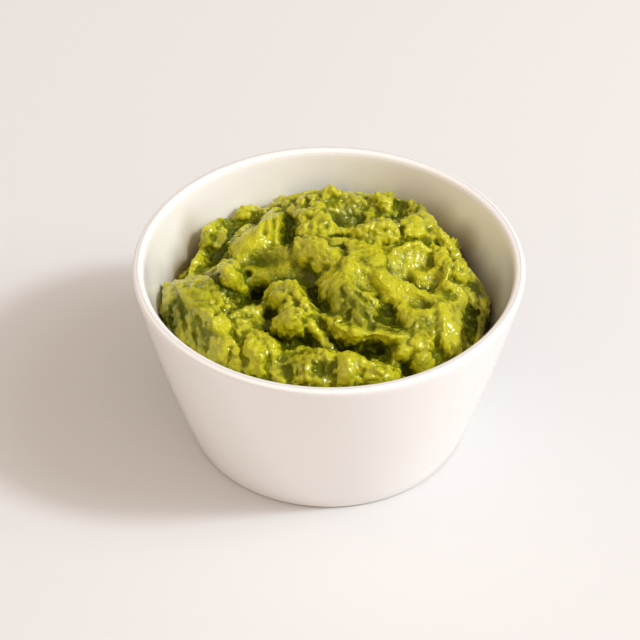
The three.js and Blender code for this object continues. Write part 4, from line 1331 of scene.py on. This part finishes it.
def paint_shadow_on_bowl(bowl, bowl_piece, heap_piece):
    """Paints the heap's shadow on the inner wall: full beside the mash, fading out with distance."""
    tree = tree_of(heap_piece)
    places = vertices_of(bowl_piece)
    around = np.degrees(np.arctan2(places[:, 1], places[:, 0]))
    inner = np.hypot(places[:, 0], places[:, 1]) < wall_radius(bowl, places[:, 2]) - 0.7 * bowl.lip
    painted_shadow = np.zeros(len(places))
    for name, share, angle, spread in PAINTED_SHADOWS:
        painted_shadow = np.maximum(painted_shadow, share * np.exp(-((around - angle) / spread) ** 2))
    painted_shadow *= inner
    for index in np.flatnonzero(painted_shadow > 0.02):
        gap = tree.find_nearest(Vector(places[index]))[3] / MM
        painted_shadow[index] *= 1 - smooth_step(*PAINTED_SHADOW_GAP, gap)
    set_attribute(bowl_piece, "painted_shadow", painted_shadow)


def make_heap(heap, bowl, stage):
    """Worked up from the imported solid: coarse, then fine, then crumbled and thinned out."""
    piece = copy_of_heap()
    relief = Relief(tree_of(piece), stage)
    relief.build()
    modify(piece, "REMESH", mode="VOXEL", voxel_size=COARSE)
    modify(piece, "SMOOTH", factor=0.5, iterations=6)
    snap(piece, relief, bowl, 9.0)
    modify(piece, "REMESH", mode="VOXEL", voxel_size=heap.grain)
    snap(piece, relief, bowl, 2.0)
    keep_off_wall(piece, bowl)
    break_up(piece, relief, bowl)
    keep_off_wall(piece, bowl)
    places = vertices_of(piece)
    hidden = 1 - smooth_step(34 * MM, 38 * MM, places[:, 2])
    set_group(piece, "hidden", hidden)
    modify(piece, "TRIANGULATE")
    modify(piece, "DECIMATE", ratio=1 - 0.9 * float(hidden.mean()), vertex_group="hidden",
           vertex_group_factor=200.0)
    modify(piece, "DECIMATE", ratio=min(MOST_FACES / len(piece.data.polygons), 1))
    keep_off_wall(piece, bowl)
    make_active(piece)
    bpy.ops.object.shade_smooth()
    piece.data.materials.append(mash_material(heap))
    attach(piece, "root")
    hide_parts("guacamole")
    paint_shadow_on_bowl(bowl, bpy.data.objects["glazed_bowl"], piece)
    return piece


# ---- the stage ------------------------------------------------------------------------------


LIGHTS = [                              # name, place in m, width and height in m, watts, colour
    ("key", (1.46, -0.25, 1.35), (0.75, 1.6), 15.5, (0.84, 0.925, 1.0)),
    ("glint", (1.36, -0.30, 1.42), (0.26, 0.26), 17.0, (0.86, 0.93, 1.0)),
]
LIT_POINT = (0, 0, 40 * MM)             # where both lights point
TABLE_RADIUS = 1.6                      # m


def soft_light(name, place, size, power, colour):
    """A round or oval lamp that points at the heap."""
    light = bpy.data.lights.new(name, "AREA")
    light.shape = "ELLIPSE"
    light.size, light.size_y = size
    light.energy = power
    light.color = colour
    lamp = bpy.data.objects.new(name, light)
    bpy.context.scene.collection.objects.link(lamp)
    lamp.location = place
    aim = Vector(LIT_POINT) - Vector(place)
    lamp.rotation_euler = aim.to_track_quat("-Z", "Y").to_euler()


def light_from_around(world):
    """Warm light from all round the room, dimmer behind the bowl and a little dimmer in front."""
    shader = Shader(world)
    direction = shader.add("ShaderNodeTexCoord")
    behind = shader.add("ShaderNodeSeparateXYZ", None, direction, out=1)
    back = 1 - 0.75 * behind.band(0.1, 0.7)
    front = 0.8 + 0.2 * behind.band(-0.8, -0.1)
    shader.finish("Background", Color=(1.0, 0.85, 0.73, 1.0), Strength=1.04 * back * front)


def make_stage(stage):
    """The camera, the table, the room's light and the two lamps."""
    scene = bpy.context.scene
    camera = bpy.data.objects.new("camera", bpy.data.cameras.new("camera"))
    scene.collection.objects.link(camera)
    camera.data.lens = stage.lens
    camera.data.sensor_width = stage.sensor
    camera.data.clip_start = 0.01
    camera.rotation_euler = camera_turn(stage).to_euler()
    camera.location = stage.place
    scene.camera = camera

    deselect()
    bpy.ops.mesh.primitive_circle_add(vertices=64, radius=TABLE_RADIUS, fill_type="NGON")
    floor = bpy.context.object
    floor.name = "table"
    floor.data.materials.append(floor_material())

    world = bpy.data.worlds.new("studio")
    scene.world = world
    light_from_around(world)
    for light in LIGHTS:
        soft_light(*light)
    scene.view_settings.view_transform = "Standard"


# ---- operators and panel --------------------------------------------------------------------


class GUACAMOLE_OT_stage(bpy.types.Operator):
    """Make the table, the lights and the camera"""
    bl_idname = "guacamole.stage"
    bl_label = "Stage"

    def execute(self, context):
        make_stage(context.scene.guacamole_stage)
        return {"FINISHED"}


class GUACAMOLE_OT_bowl(bpy.types.Operator):
    """Turn and glaze the bowl"""
    bl_idname = "guacamole.bowl"
    bl_label = "Bowl"

    def execute(self, context):
        make_bowl(context.scene.guacamole_bowl)
        return {"FINISHED"}


class GUACAMOLE_OT_heap(bpy.types.Operator):
    """Work up the heap of guacamole from its solid"""
    bl_idname = "guacamole.heap"
    bl_label = "Heap"

    def execute(self, context):
        scene = context.scene
        make_heap(scene.guacamole_heap, scene.guacamole_bowl, scene.guacamole_stage)
        return {"FINISHED"}


OPERATORS = (GUACAMOLE_OT_stage, GUACAMOLE_OT_bowl, GUACAMOLE_OT_heap)


class GUACAMOLE_PT_panel(bpy.types.Panel):
    """Lists the pieces and their settings"""
    bl_idname = "GUACAMOLE_PT_panel"
    bl_label = "Guacamole"
    bl_space_type = "VIEW_3D"
    bl_region_type = "UI"
    bl_category = "Guacamole"

    def draw(self, context):
        for operator in OPERATORS:
            self.layout.operator(operator.bl_idname)
        for name, kind in SETTINGS.items():
            box = self.layout.box()
            for key in kind.__annotations__:
                box.prop(getattr(context.scene, name), key)


def register():
    for kind in (*SETTINGS.values(), *OPERATORS, GUACAMOLE_PT_panel):
        bpy.utils.register_class(kind)
    for name, kind in SETTINGS.items():
        setattr(bpy.types.Scene, name, PointerProperty(type=kind))


def unregister():
    for name in SETTINGS:
        delattr(bpy.types.Scene, name)
    for kind in (GUACAMOLE_PT_panel, *reversed(OPERATORS), *SETTINGS.values()):
        bpy.utils.unregister_class(kind)


def main():
    register()
    bpy.ops.guacamole.stage()
    bpy.ops.guacamole.bowl()
    bpy.ops.guacamole.heap()


if __name__ == "__main__":
    main()
